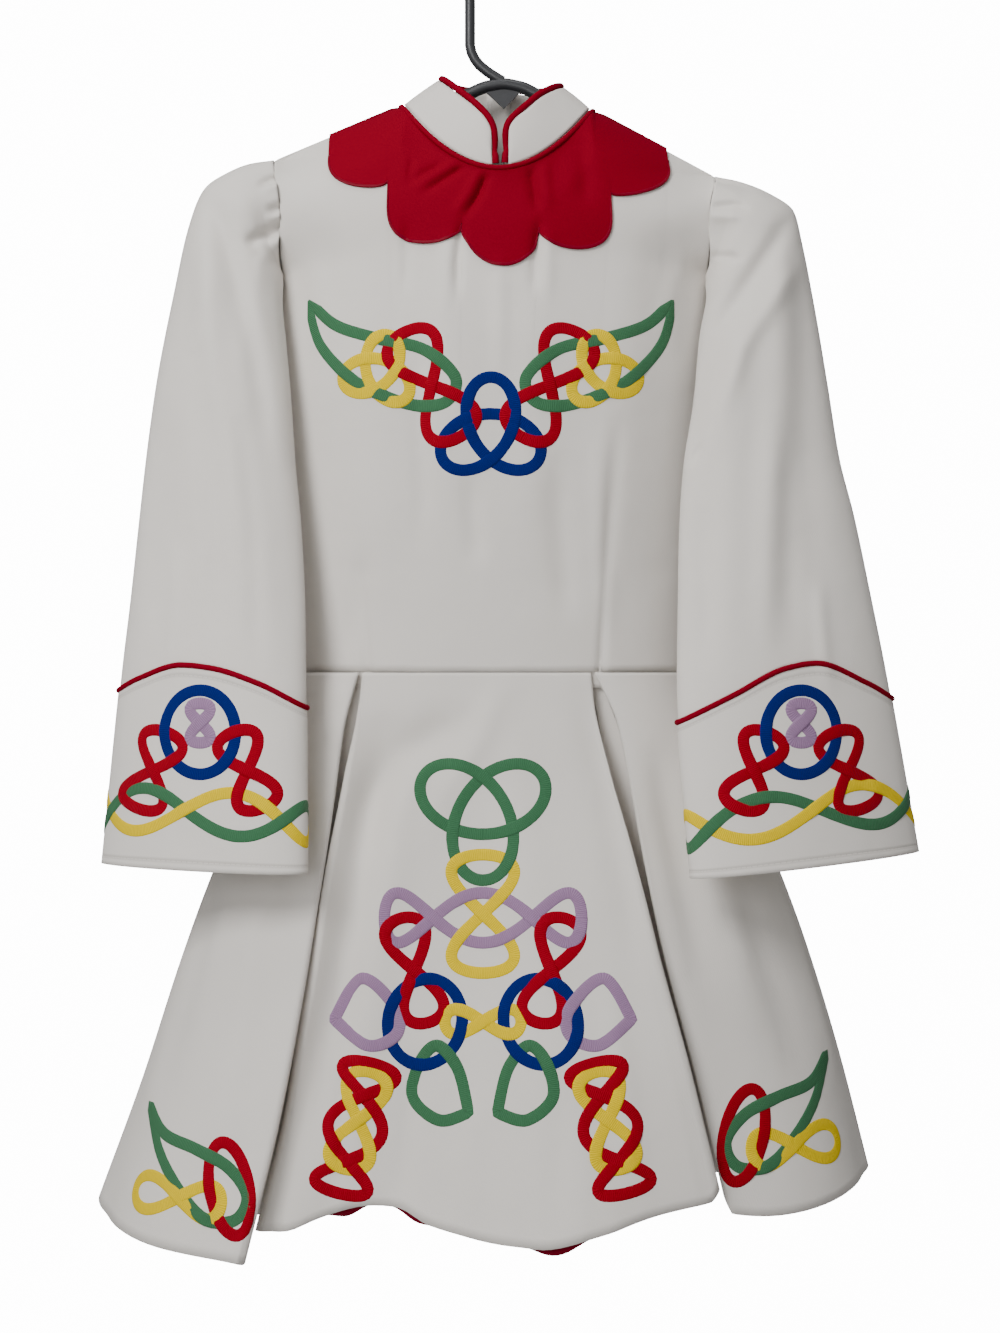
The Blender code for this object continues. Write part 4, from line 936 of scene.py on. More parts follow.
def round_off(path, passes=2):
    """The path with each inner point drawn halfway to the middle of its neighbours."""
    for _ in range(passes):
        inner = [p.lerp((a + b) / 2, 0.5) for a, p, b in zip(path, path[1:], path[2:])]
        path = [path[0], *inner, path[-1]]
    return path


# ---- sleeves -----------------------------------------------------------------------
def gathers(turn, at):
    """The solids' soft ridges at the sleeve head, and finer creases on its back half."""
    fade = (1 - ease(at, 0.0, 0.13)) * abs(math.sin(turn))
    fine = (1 - ease(at, 0.0, 0.07)) * clamp(-2 * math.sin(turn))
    uneven = 3 * math.sin(3 * turn)
    return (GATHER_DEPTH * math.sin(2 * GATHERS * turn) * fade
            + FINE_DEPTH * math.sin(FINE_GATHERS * turn + uneven) * fine)


def sleeve_spot(rows, side, turn, at, out=0.0):
    """A point at a turn round the sleeve; the turn is 0 outside, pi at the inner edge."""
    ox, od, ix, idn, oy, iy, front, back = read(rows, "at", at, *SLEEVE_COLUMNS.split()[1:])
    across = (1 - math.cos(turn)) / 2
    x, down = mix(ox, ix, across), mix(od, idn, across)
    x -= side * UNDERARM_PRESS * bell(down - UNDERARM - 6, 15) * across**3 * ease(at, -0.02, 0.04)
    head = clamp((down - rows[0]["outer_down"]) / (UNDERARM - rows[0]["outer_down"]))
    press = HEAD_PRESS[0 if turn < math.pi else 1] * (4 * head * (1 - head)) ** 1.5
    x -= side * (HEAD_TUCK + press) * (1 - ease(at, 0, 0.03))
    swell = gathers(turn, at) + out
    for fold in SLEEVE_FOLDS + SLEEVE_CREASES:
        where = (turn / (2 * math.pi) - fold["round"] - fold["turn"] * (at - fold["start"])) % 1
        where = min(where, 1 - where)
        fade = ease(at, fold["start"], fold["start"] + 0.15) * (
            1 - ease(at, fold["end"] - 0.2, fold["end"])
        )
        swell += fold["depth"] * bell(where, fold["width"]) * fade
    sin = math.sin(turn)
    if sin > 0:
        swell += crease_height("sleeve_left" if side < 0 else "sleeve_right", x, down)
    depth = -front * sin if sin > 0 else -back * sin
    y = mix(oy, iy, across) + depth
    y -= swell * sin ** (1 / 3 if sin > 0 else 1)
    return spot(x + side * math.cos(turn) * out, y, down)


def seam_at(rows, turn, side):
    """Where along the sleeve the cuff seam crosses this turn."""
    across = (1 - math.cos(turn)) / 2
    column = "left" if side < 0 else "right"
    down = read(CUFF_SEAM, "across", across, column)
    if math.sin(turn) < 0:
        flat = mix(CUFF_SEAM[0][column], CUFF_SEAM[-1][column], across)
        down = flat - 9 * math.sin(turn) * math.sin(turn)
    last, before = rows[-1], rows[-2]
    high = mix(before["outer_down"], before["inner_down"], across)
    low = mix(last["outer_down"], last["inner_down"], across)
    return mix(before["at"], 1, (down - high) / (low - high))


def sleeve(name, rows, side, white, cuff_white, red):
    """Makes a sleeve with its cuff. Returns the cuff and the function for its points."""
    def turn_of(u):
        return (2 * math.pi * u if side < 0 else math.pi - 2 * math.pi * u) % (2 * math.pi)

    def place(u, v):
        turn = turn_of(u)
        return sleeve_spot(rows, side, turn, (seam_at(rows, turn, side) - CUFF_SEAM_GAP) * v)

    def put(u, v):
        turn = turn_of(u)
        at = mix(seam_at(rows, turn, side) + CUFF_SEAM_GAP, 1, v)
        return sleeve_spot(rows, side, turn, at, CUFF_STEP)

    cloth("cloth_sleeve_" + name, place, 176, 150, (0.32, 0.42), white, ["sleeve_" + name],
          closed=True)
    cuff = cloth("cloth_cuff_" + name, put, 176, 44, (0.36, 0.15), cuff_white,
                 ["cuff_" + name], closed=True)
    path, count = [], 112
    for k in range(count):
        turn = turn_of(k / count)
        path.append(sleeve_spot(rows, side, turn, seam_at(rows, turn, side), CUFF_PIPING_OUT))
    centre = sum(path, Vector()) / len(path)

    def outward(point):
        return Vector((point.x - centre.x, (point.y - centre.y) * 2, 0)).normalized()

    sweep("piping_cuff_" + name, path, PIPING["cuff"], red, outward,
          ["cuff_piping_" + name], closed=True)
    return cuff, put


# ---- skirt -------------------------------------------------------------------------
def fold_line(mouth, towards, inner, radius):
    """Round the fold at the mouth, then to the inner seam. towards is the way across."""
    turn_x = mouth[0] - towards * radius
    way = 1 if inner[1] > mouth[1] else -1
    points = []
    cells = 2 * DETAIL
    for k in range(cells + 1):
        angle = math.pi / 2 * k / cells
        points.append((turn_x + towards * radius * math.sin(angle),
                       mouth[1] + way * radius * (1 - math.cos(angle))))
    x, y = points[-1]
    return points + [(mix(x, inner[0], k / cells), mix(y, inner[1], k / cells))
                     for k in range(1, cells + 1)]


def pleat_mouths(row, pleat):
    """Seen from above: both edges of each pleat's mouth, and the seams inside it."""
    mouths = {}
    for end, x, gore, centre in (
        ("front_left", row["mouth_l"], row["gore_l"], row["centre_l"]),
        ("front_right", row["mouth_r"], row["gore_r"], row["centre_r"]),
        ("back_left", BACK_SEAM - row["half"], row["gore_l"] * BACK_GORE,
         row["back"] * BACK_EDGE),
        ("back_right", BACK_SEAM + row["half"], row["gore_r"] * BACK_GORE,
         row["back"] * BACK_EDGE),
    ):
        face = -1 if end.startswith("front") else 1
        outer = -1 if end.endswith("left") else 1
        gap = pleat["mouth_l" if face > 0 or outer < 0 else "mouth_r"]
        seam_y = face * (gore + centre) / 2 - face * pleat["deep"]
        mouths[end] = dict(
            gore=(x + outer * gap, face * gore),
            centre=(x - outer * gap, face * centre),
            gore_in=(x + outer * pleat["wide"], seam_y),
            centre_in=(x - outer * pleat["wide"], seam_y),
            outer=outer,
        )
    return mouths


def gore_ring(side_x, side_y, first, second, radius):
    """From the seam inside one pleat round the side of the skirt to the next pleat's."""
    line = []
    for mouth, swap in ((first, True), (second, False)):
        fold = fold_line(mouth["gore"], -mouth["outer"], mouth["gore_in"], radius)
        arc = []
        for k in range(1, SIDE_CELLS):
            angle = math.pi / 2 * k / SIDE_CELLS
            arc.append((mix(fold[0][0], side_x, math.cos(angle) ** SIDE_BEND),
                        mix(side_y, fold[0][1], math.sin(angle) ** SIDE_BEND)))
        part = arc + fold
        line += part[::-1] if swap else [(side_x, side_y)] + part
    return line


def middle_ring(at, first, second, face, belly, cells, waves, radius):
    """Across the front or the back, from the seam inside one pleat to the other's."""
    start = fold_line(first["centre"], face, first["centre_in"], radius)[::-1]
    end = fold_line(second["centre"], -face, second["centre_in"], radius)
    middle = []
    for k in range(1, cells * DETAIL):
        t = k / (cells * DETAIL)
        bulge = belly * 4 * t * (1 - t)
        bulge += at**1.3 * sum(w["depth"] * bell(t - w["across"], w["width"]) for w in waves)
        middle.append((mix(start[-1][0], end[0][0], t),
                       mix(start[-1][1], end[0][1], t) + face * bulge))
    return start + middle + end


def skirt_ring(at):
    """Each panel's points, seen from above, at one fraction of the skirt's length."""
    row = dict(zip(SKIRT[0], read(SKIRT, "at", at, *list(SKIRT[0]))))
    pleat = dict(zip(PLEAT[0], read(PLEAT, "at", at, *list(PLEAT[0]))))
    mouths = pleat_mouths(row, pleat)
    fl, fr, bl, br = (mouths[e] for e in ("front_left", "front_right", "back_left", "back_right"))
    radius = pleat["round"]
    front_belly = row["front"] - (row["centre_l"] + row["centre_r"]) / 2
    back_belly = row["back"] - row["back"] * BACK_EDGE
    rings = dict(
        gore_left=gore_ring(row["left"], row["side_y"], bl, fl, radius),
        gore_right=gore_ring(row["right"], row["side_y"], fr, br, radius),
        centre_front=middle_ring(at, fl, fr, -1, front_belly, 14, CENTRE_WAVES, radius),
    )
    back = middle_ring(at, br, bl, 1, back_belly, 16, BACK_WAVES, radius)
    half = len(back) // 2
    rings["back_right"], rings["back_left"] = back[: half + 1], back[half:]
    for name, a, b in (
        ("underlay_front_left", fl["gore_in"], fl["centre_in"]),
        ("underlay_front_right", fr["centre_in"], fr["gore_in"]),
        ("underlay_back_right", br["gore_in"], br["centre_in"]),
        ("underlay_back_left", bl["centre_in"], bl["gore_in"]),
    ):
        rings[name] = [(mix(a[0], b[0], k / 8), mix(a[1], b[1], k / 8)) for k in range(9)]
    return rings


def hem_of(name, t):
    return smooth([h[0] for h in HEMS[name]], [h[1] for h in HEMS[name]], t)


def pucker(name, t, at):
    """How far the small waves above the hem stand out."""
    total = 0.0
    for p in PUCKERS:
        if p["panel"] == name:
            total += p["depth"] * bell(t - p["across"], p["width"])
    return total * ease(at, 0.86, 0.985)


def soft_folds(name, t, at):
    """The broad soft folds of a skirt panel."""
    total = 0.0
    for f in SKIRT_FOLDS:
        if f["panel"] == name:
            middle = f["across"] + f["lean"] * (at - 0.5)
            fade = ease(at, f["start"], f["start"] + 0.2) * (
                1 - ease(at, f["end"] - 0.15, f["end"] + 0.05))
            total += f["depth"] * bell(t - middle, f["width"]) * fade
    return total


def panel_spot(rings, steps, name, i, place):
    """A point of a skirt panel at row i and at a place from 0 to 1 along its ring."""
    at, ring = steps[i], rings[i][name]
    count = len(ring) - 1
    k = min(int(place * count + 1e-6), count - 1)
    f = place * count - k
    (xa, ya), (xb, yb) = ring[k], ring[k + 1]
    x, y = mix(xa, xb, f), mix(ya, yb, f)
    before, after = ring[max(k - 1, 0)], ring[min(k + 2, count)]
    dx, dy = after[0] - before[0], after[1] - before[1]
    long = math.hypot(dx, dy) or 1
    if name.startswith("underlay"):
        inset = 1.0 if place < 0.01 else -1.0 if place > 0.99 else 0
        x += inset * (1 if ring[-1][0] > ring[0][0] else -1)
    else:
        free = ease(min(place, 1 - place), 0.02, 0.12)
        low = hem_of(name, place) + drop_of_hem(name, place)
        swell = soft_folds(name, place, at) + pucker(name, place, at)
        if y < -2 and "skirt_" + name in CREASES_ON:
            swell += crease_height("skirt_" + name, x, mix(SKIRT_TOP, low, at))
        swell *= free
        x, y = x + swell * dy / long, y - swell * dx / long
    if name.startswith("back"):
        x += near_zip(name, place, at)
    low = hem_of(name, place) + drop_of_hem(name, place)
    return spot(x, y, mix(SKIRT_TOP, low, at)), Vector((dy / long, -dx / long, 0))


def skirt(white, satin):
    """Each panel as a fine grid from ready-made rings, one ring for each row."""
    rows = SKIRT_ROWS * DETAIL * 2
    steps = [(i / rows) ** ROW_CROWD for i in range(rows + 1)]
    rings = [skirt_ring(max(at, 0.002)) for at in steps]
    made = {}
    for name in rings[0]:
        def place(u, v, name=name):
            return panel_spot(rings, steps, name, round(v * rows), u)[0]

        first = name.startswith("underlay")
        node = ("pleat_" if first else "skirt_") + name
        size = UNDERLAY_CLOTH if first else SKIRT_CLOTH[name]
        made[node] = cloth("cloth_" + node, place, len(rings[0][name]) - 1, rows, size, white,
                           [node])
    made["skirt_lining"] = red_lining(rings, steps, rows, satin)
    return made


def near_zip(name, u, at):
    """Along the zip, the back edges stop short of the centre line."""
    share = u if name == "back_left" else 1 - u
    room = ZIP_GAP * (1 - ease(at, *ZIP_CLOSES)) + 0.2
    return (-1 if name == "back_left" else 1) * room * (1 - clamp(share / 0.03))


def drop_of_hem(name, t):
    return sum(h["down"] * bell(t - h["across"], h["width"]) for h in HEM_DIPS
               if h["panel"] == name)


def red_lining(rings, steps, rows, satin):
    """A red strip inside the front hem, which shows below it in three places."""
    name = "centre_front"
    skip = 4 / (len(rings[0][name]) - 1) * DETAIL
    first = next(i for i in range(rows, 0, -1) if (1 - steps[i]) * PANEL_LENGTH > LINING_HEIGHT)

    def place(u, v):
        along = mix(skip, 1 - skip, u)
        i = first + round(v * (rows - first))
        point, n = panel_spot(rings, steps, name, i, along)
        peek = sum(p["below"] * bell(u - p["across"], p["width"]) for p in LINING_PEEKS)
        point.z -= (peek - 1.5) * ease(v, 0.4, 1.0)
        return point - n * LINING_DEPTH

    return cloth("cloth_skirt_lining", place, 90, rows - first, (0.32, 0.034), satin,
                 ["skirt_lining"], wall=0.8)


# ---- zip ---------------------------------------------------------------------------
def zip_line():
    """The centre-back line from the collar to the skirt, with outward normals."""
    points = [collar_spot(COLLAR_LEFT, -1, 180, v) for v in (0.03, 0.35, 0.7, 1.0)]
    middle = COLUMNS / 2
    points += [bodice_spot(middle, ROWS * k / 16, 1) for k in range(17)]
    for k in range(1, 7):
        at = ZIP_END * k / 6
        x, y = skirt_ring(at)["back_left"][0]
        low = hem_of("back_left", 0)
        points.append(spot(x, y, mix(SKIRT_TOP, low, at)))
    for point in points[:4]:
        point.x = ZIP_X
    found = []
    for i, point in enumerate(points):
        ahead = points[min(i + 1, len(points) - 1)] - points[max(i - 1, 0)]
        n = Vector((1, 0, 0)).cross(ahead).normalized()
        found.append((point, n if n.y > 0 else -n))
    return found


def evenly(line, step):
    """Points on a line of (point, normal) pairs, a step apart."""
    reach = [0.0]
    for (a, _), (b, _) in zip(line, line[1:]):
        reach.append(reach[-1] + (b - a).length)
    count, found = int(reach[-1] / step), []
    for k in range(count + 1):
        at = k * step
        i = min(max(bisect.bisect_right(reach, at) - 1, 0), len(line) - 2)
        t = (at - reach[i]) / ((reach[i + 1] - reach[i]) or 1)
        (a, n), (b, m) = line[i], line[i + 1]
        found.append((a.lerp(b, t), n.lerp(m, t).normalized()))
    return found


def zipper(tape_paint, metal):
    """The tape inside the back opening, and a tooth to the left and right by turns."""
    line = evenly(zip_line(), 6.0)

    def tape(u, v):
        i = min(v * (len(line) - 1), len(line) - 1.001)
        (a, n), (b, m) = line[int(i)], line[int(i) + 1]
        point = a.lerp(b, i - int(i))
        inwards = n.lerp(m, i - int(i)) * TAPE_DEPTH
        return point + Vector((mix(TAPE_HALF, -TAPE_HALF, u), 0, 0)) - inwards

    cloth("zip_tape_cloth", tape, 4, len(line) - 1, (0.018, 0.53), tape_paint, ["zip_tape"],
          wall=1.0)
    teeth = bmesh.new()
    wide, thick, tall = CHAIN["wide"], CHAIN["thick"], CHAIN["tall"]
    right = Vector((1, 0, 0))
    for k, (point, n) in enumerate(evenly(zip_line(), CHAIN["step"])):
        side = 1 if k % 2 else -1
        middle = point - n * (TAPE_DEPTH - GAP - thick / 2) + right * (side * CHAIN["aside"])
        tooth = Matrix((right * wide, n.cross(right) * tall, n * thick)).transposed() * MM
        placed = Matrix.Translation(middle * MM) @ tooth.to_4x4()
        bmesh.ops.create_cube(teeth, size=1, matrix=placed)
    finish_piece("zip_teeth", teeth, metal, ["zip_chain"], sharp=20)


# ---- hanger ------------------------------------------------------------------------
def hanger(plastic):
    """The hook with its stem, the arms, and the web under the hook's foot."""
    def forward(_):
        return Vector((0, 1, 0))

    centre = Vector((0, 0, -HOOK_BEND + WIRE))
    path = [centre + Vector((math.cos(a), 0, math.sin(a))) * HOOK_BEND
            for a in (math.radians(d) for d in range(-36, 181, 5))]
    path += [spot(-HOOK_BEND, 0, STEM_END * t) for t in (0.55, 0.7, 0.85, 1)]
    path += [spot(x, 0, down) for x, down in HOOK_FOOT]
    sweep("hanger_hook_round", path, WIRE, plastic, forward, ["hanger_hook"], 24)
    arms = [spot(x, 0, down) for x, down in ARM_PATH]
    arms = round_off([a.lerp(b, t / 6) for a, b in zip(arms, arms[1:]) for t in range(6)]
                     + [arms[-1]], 3)
    sweep("hanger_arms_round", arms, ARM, plastic, forward, ["hanger_arms"], 24)
    web = bmesh.new()
    faces = []
    for y in (-WEB_HALF, WEB_HALF):
        faces.append([web.verts.new(spot(x, y, down) * MM) for x, down in WEB])
    web.faces.new(faces[0])
    web.faces.new(faces[1][::-1])
    for k in range(3):
        m = (k + 1) % 3
        web.faces.new((faces[0][k], faces[1][k], faces[1][m], faces[0][m]))
    bmesh.ops.recalc_face_normals(web, faces=web.faces)
    finish_piece("hanger_web", web, plastic, sharp=20)


# ---- embroidery: where the strands run ---------------------------------------------
def turned(points, at, degrees):
    turn = math.radians(degrees)
    c, s = math.cos(turn), math.sin(turn)
    return [(at[0] + x * c - y * s, at[1] + x * s + y * c) for x, y in points]


def oval(at, wide, high, turn=0):
    angles = [2 * math.pi * k / 72 for k in range(73)]
    return turned([(wide * math.cos(a), high * math.sin(a)) for a in angles], at, turn)


def eight(at, long, high, turn=0, waves=2):
    """A long closed loop that crosses itself between its ends: two waves give an 8."""
    angles = [2 * math.pi * k / 144 for k in range(145)]
    return turned([(long * math.cos(a), high * math.sin(waves * a)) for a in angles], at, turn)


def trefoil(at, size, turn=0):
    """The three-lobed closed knot."""
    angles = [2 * math.pi * k / 144 for k in range(145)]
    return turned([(size * (math.sin(a) + 2 * math.sin(2 * a)),
                    -size * (math.cos(a) - 2 * math.cos(2 * a))) for a in angles], at, turn)


def drawn(*knots, closed=False):
    """A smooth line through the knots. A knot given twice is a sharp corner."""
    knots = list(knots)
    ends = (knots[-1], knots[0]) if closed else (knots[0], knots[-1])
    line = [ends[0], *knots, *((ends[1], knots[1]) if closed else (ends[1],))]
    found = []
    for a, b, c, d in zip(line, line[1:], line[2:], line[3:]):
        if b == c:
            continue
        for k in range(12):
            t = k / 12
            found.append(tuple(
                0.5 * (2 * q + (r - p) * t + (2 * p - 5 * q + 4 * r - s) * t * t
                       + (3 * q - p - 3 * r + s) * t**3)
                for p, q, r, s in zip(a, b, c, d)))
    return found + [knots[0] if closed else knots[-1]]


def mirrored(points, middle):
    return [(2 * middle - x, y) for x, y in points]


def even_points(points, step):
    """The same line with its points a step apart, in two or three dimensions."""
    points = [Vector(p) for p in points]
    reach = [0.0]
    for a, b in zip(points, points[1:]):
        reach.append(reach[-1] + (b - a).length)
    count, found = max(3, round(reach[-1] / step)), []
    for k in range(count + 1):
        at = reach[-1] * k / count
        i = min(max(bisect.bisect_right(reach, at) - 1, 0), len(points) - 2)
        t = (at - reach[i]) / ((reach[i + 1] - reach[i]) or 1)
        found.append(points[i].lerp(points[i + 1], t))
    return found


# ---- embroidery: how the strands lie -----------------------------------------------
EYE = Vector((0, -VIEW_DISTANCE, VIEW_LEVEL)) / MM


def surface_of(objects):
    """The outer faces of these cloth pieces in millimetres, to lay strands on."""
    points, faces = [], []
    for obj in objects:
        first = len(points)
        points += [v.co / MM for v in obj.data.vertices]
        faces += [[first + i for i in f.vertices] for f in obj.data.polygons]
    return BVHTree.FromPolygons(points, faces)


def from_front(surface, x, down):
    """The point of the cloth that is seen at x and down from the camera."""
    hit = surface.ray_cast(EYE, (spot(x, 0, down) - EYE).normalized())[0]
    return hit if hit and hit.y < 0 else None


def settle(surface, point, height):
    """The nearest place on the cloth, raised along the cloth's own normal."""
    near, normal, _, _ = surface.find_nearest(point)
    if normal.dot(EYE - near) < 0 and near.y < point.y - 5:
        normal = -normal
    return near + normal * height


def crossings(lines):
    """Where the flat lines cross: (line, place, other line, other place)."""
    cells, found = {}, []
    cell_size, longest = 8, 12  # millimetres
    for k, line in enumerate(lines):
        for i, (a, b) in enumerate(zip(line, line[1:])):
            if (b - a).length > longest:
                continue
            cell = (int(a.x // cell_size), int(a.y // cell_size))
            for near in [(cell[0] + p, cell[1] + q) for p in (-1, 0, 1) for q in (-1, 0, 1)]:
                for m, j, c, d in cells.get(near, ()):
                    if m == k and (abs(i - j) < 3 or abs(i - j) > len(line) - 4):
                        continue
                    r, s, gap = b - a, d - c, c - a
                    cross = r.x * s.y - r.y * s.x
                    if abs(cross) < 1e-9:
                        continue
                    t = (gap.x * s.y - gap.y * s.x) / cross
                    u = (gap.x * r.y - gap.y * r.x) / cross
                    if 0 <= t < 1 and 0 <= u < 1:
                        found.append((k, i + t, m, j + u))
            cells.setdefault(cell, []).append((k, i, a, b))
    return found


def over_and_under(lines):
    """For each line, the places where it passes over: over and under take turns."""
    found = crossings(lines)
    events = [[] for _ in lines]
    for n, (k, s, m, t) in enumerate(found):
        events[k].append((s, n, 0))
        events[m].append((t, n, 1))
    top = {}
    for k in range(len(lines)):
        events[k].sort()
        known = next((i for i, (_, n, _) in enumerate(events[k]) if n in top), None)
        start = 0
        if known is not None:
            _, n, end = events[k][known]
            start = (known + (0 if top[n] == end else 1)) % 2
        for i, (_, n, end) in enumerate(events[k]):
            if n not in top:
                top[n] = end if i % 2 == start else 1 - end
    return [[s for s, n, end in mine if top[n] == end] for mine in events]


def corners_of(line):
    """Where the line turns sharply."""
    found = []
    for i in range(2, len(line) - 2):
        arriving = (line[i] - line[i - 2]).normalized()
        leaving = (line[i + 2] - line[i]).normalized()
        if arriving.dot(leaving) < -0.3:
            found.append(i)
    return found


def ribbon_row(surface, line, i, ring, over, corners, half, crown, step):
    """Points across the ribbon at its point i. ring says that the line is closed."""
    point, last = line[i], len(line) - 1
    before = line[i - 1] if i else (line[-2] if ring else line[0])
    ahead = line[min(i + 1, last)] - before
    normal = surface.find_nearest(point)[1]
    side = normal.cross(ahead).normalized()
    width = half * (1.0 if ring else clamp(0.25 + min(i, last - i) / 3))
    width *= min([0.2 + 0.8 * clamp(abs(i - s) * step / CORNER_REACH) for s in corners],
                 default=1)
    gaps = [abs(i - s) for s in over]
    if ring:
        gaps += [abs(abs(i - s) - last) for s in over]
    rise = max([bell(gap * step, OVER_WIDTH) for gap in gaps], default=0)
    row = []
    for a in STRAND_SHAPE:
        height = crown * (1 - a**4) ** 0.7 - (STRAND_SINK if abs(a) == 1 else 0)
        height += rise * (crown + OVER_ROOM)
        row.append(settle(surface, point + side * (a * width), height))
    return row


def ribbons(name, surface, lines, overs, paint, half, crown, step, slot=None):
    """Satin stitch along each line: a low rounded ridge that lies on the cloth."""
    mesh = bmesh.new()
    layer = mesh.loops.layers.uv.new("cloth")
    count = len(STRAND_SHAPE)
    for line, over in zip(lines, overs):
        corners = corners_of(line)
        ring = (line[0] - line[-1]).length < 0.01
        rows = []
        for i in range(len(line) - ring):
            row = ribbon_row(surface, line, i, ring, over, corners, half, crown, step)
            rows.append([mesh.verts.new(point * MM) for point in row])
        pairs = [(i, i + 1) for i in range(len(rows) - 1)] + ([(len(rows) - 1, 0)] if ring else [])
        for i, n in pairs:
            for k in range(count):
                m = (k + 1) % count
                face = mesh.faces.new((rows[i][k], rows[i][m], rows[n][m], rows[n][k]))
                corner_uvs = ((k, i), (k + 1, i), (k + 1, i + 1), (k, i + 1))
                for loop, (u, v) in zip(face.loops, corner_uvs):
                    loop[layer].uv = (u * half * MM / 3, v * step * MM)
        if not ring:
            mesh.faces.new(rows[0])
            mesh.faces.new(rows[-1])
    bmesh.ops.recalc_face_normals(mesh, faces=mesh.faces)
    return finish_piece(name, mesh, paint, sharp=80)


def embroider(name, surface, strands, threads, flat=None):
    """Strands are (colour, line) pairs, each line seen from the front or in space."""
    lines, step = [], STRAND["step"]
    for _, points in strands:
        if len(points[0]) == 2:
            points = [from_front(surface, x, down) for x, down in even_points(points, step)]
            points = [p for p in points if p]
        lines.append(even_points(points, step))
    flat = flat or (lambda p: Vector((p.x, p.z)))
    overs = over_and_under([[flat(p) for p in line] for line in lines])
    for colour in sorted({c for c, _ in strands}):
        picked = [k for k, (c, _) in enumerate(strands) if c == colour]
        ribbons("stitch_" + name + "_" + colour, surface, [lines[k] for k in picked],
                [overs[k] for k in picked], threads[colour], **STRAND)


def chest_strands():
    """Leaves, loops and trefoils on the chest, the same on both sides."""
    middle = -7.0
    leaf = drawn((-34, 330), (-58, 309), (-96, 300), (-126, 290), (-146, 271), (-146, 271),
                 (-137, 305), (-112, 332), (-84, 346), (-60, 352), (-40, 348), closed=True)
    strands = [("green", leaf), ("green", mirrored(leaf, middle))]
    strands += [("yellow", trefoil((-92, 326), 9.6, 74)),
                ("yellow", mirrored(trefoil((-92, 326), 9.6, 74), middle))]
    strands += [("red", eight((-52, 336), 45, 20, 62)),
                ("red", mirrored(eight((-52, 336), 45, 20, 62), middle))]
    strands += [("blue", trefoil((middle, 372), 14.0, 180))]
    return strands


def skirt_strands():
    """Knots down the middle of the front panel, and a mirrored pair beside them."""
    middle = -13.0
    strands = [("green", trefoil((middle, 660), 17.5, 0)),
               ("yellow", eight((middle, 738), 45, 24, 90)),
               ("lilac", eight((middle, 741), 75, 19, 0, 3)),
               ("yellow", eight((middle, 820), 29, 9.5, 0))]
    for side in (-1, 1):
        def put(points, side=side):
            shifted = [(middle + x, y) for x, y in points]
            return shifted if side > 0 else mirrored(shifted, middle)

        strands += [("blue", put(oval((44, 820), 28, 33, -14))),
                    ("red", put(eight((52, 781), 41, 15.5, 104))),
                    ("lilac", put(drawn((66, 810), (92, 787), (113, 818), (113, 818), (88, 838),
                                        (66, 830), closed=True))),
                    ("green", put(drawn((19, 856), (11, 889), (11, 889), (33, 895), (53, 878),
                                        (49, 853), (35, 838), closed=True))),
                    ("red", put(eight((97, 901), 51, 21, 76, 3))),
                    ("yellow", put(eight((95, 895), 38, 16, 76, 2)))]
    return strands


def cuff_strands(at, spot_of):
    """A knot on the front of the cuff, and a two-strand twist all round it."""
    x, down = at
    strands = [("blue", oval((x, down - 12), 27, 32)),
               ("lilac", eight((x, down - 19), 15, 8, 90)),
               ("red", eight((x - 36, down + 17), 31, 16, 110)),
               ("red", eight((x + 36, down + 17), 31, 16, 70))]

    count, back = 240, 1000

    def aside(share):
        place = spot_of(share, TWIST_AT)
        return abs(place.x - x) + (back if place.y > 0 else 0)

    front = min((k / count for k in range(count)), key=aside)
    for colour, start in (("green", 0.0), ("yellow", math.pi)):
        line = []
        for k in range(count + 1):
            turn = 2 * math.pi * TWISTS * (k / count - front) + start
            line.append(spot_of(k / count, TWIST_AT + TWIST_SWING * math.sin(turn)))
        strands.append((colour, line))
    return strands


def corner_strands(at, lean, side):
    """A leaf, a ring and a figure of eight in a front corner of a gore."""
    def put(points):
        return turned([(side * x, y) for x, y in points], at, lean)

    leaf = drawn((-34, -54), (-34, -54), (-24, -32), (0, -19), (24, -4), (37, 18), (27, 36),
                 (4, 34), (-14, 12), (-28, -18), closed=True)
    return [("green", put(leaf)), ("red", put(oval((24, 12), 15, 36, -8))),
            ("yellow", put(eight((-15, 17), 33, 13, 12)))]


def scallop_edges(panels, satin):
    """A narrow row of satin stitch along the yoke's scallops, front and back."""
    first, last = SHOULDER_CELLS, COLUMNS - SHOULDER_CELLS
    middle = COLUMNS / 2
    for name, face, a, b in (("front", -1, first, last),
                             ("back_left", 1, first, middle - ZIP_COLUMN),
                             ("back_right", 1, middle + ZIP_COLUMN, last)):
        surface = surface_of([panels["yoke_" + name]])
        count = round((b - a) * 12)
        line = [bodice_spot(mix(a, b, k / count), YOKE_ROWS - 0.04, face, own_edge=True)
                for k in range(count + 1)]
        line = even_points([settle(surface, p, 0) for p in line], EDGING["step"])
        ribbons("stitch_scallops_" + name, surface, [line], [[]], satin, slot="red_cloth",
                **EDGING)


# ---- shaders -----------------------------------------------------------------------
def node(tree, kind, **settings):
    made = tree.nodes.new(kind if kind.startswith("Node") else "ShaderNode" + kind)
    for key, value in settings.items():
        setattr(made, key, value)
    return made


def link(tree, out, to):
    tree.links.new(out, to)


def maths(tree, operation, *inputs, low=None):
    """One Math node. An input is a number or an output socket."""
    made = node(tree, "Math", operation=operation, use_clamp=low is not None)
    for k, value in enumerate(inputs):
        if isinstance(value, (int, float)):
            made.inputs[k].default_value = value
        else:
            link(tree, value, made.inputs[k])
    return made.outputs[0]


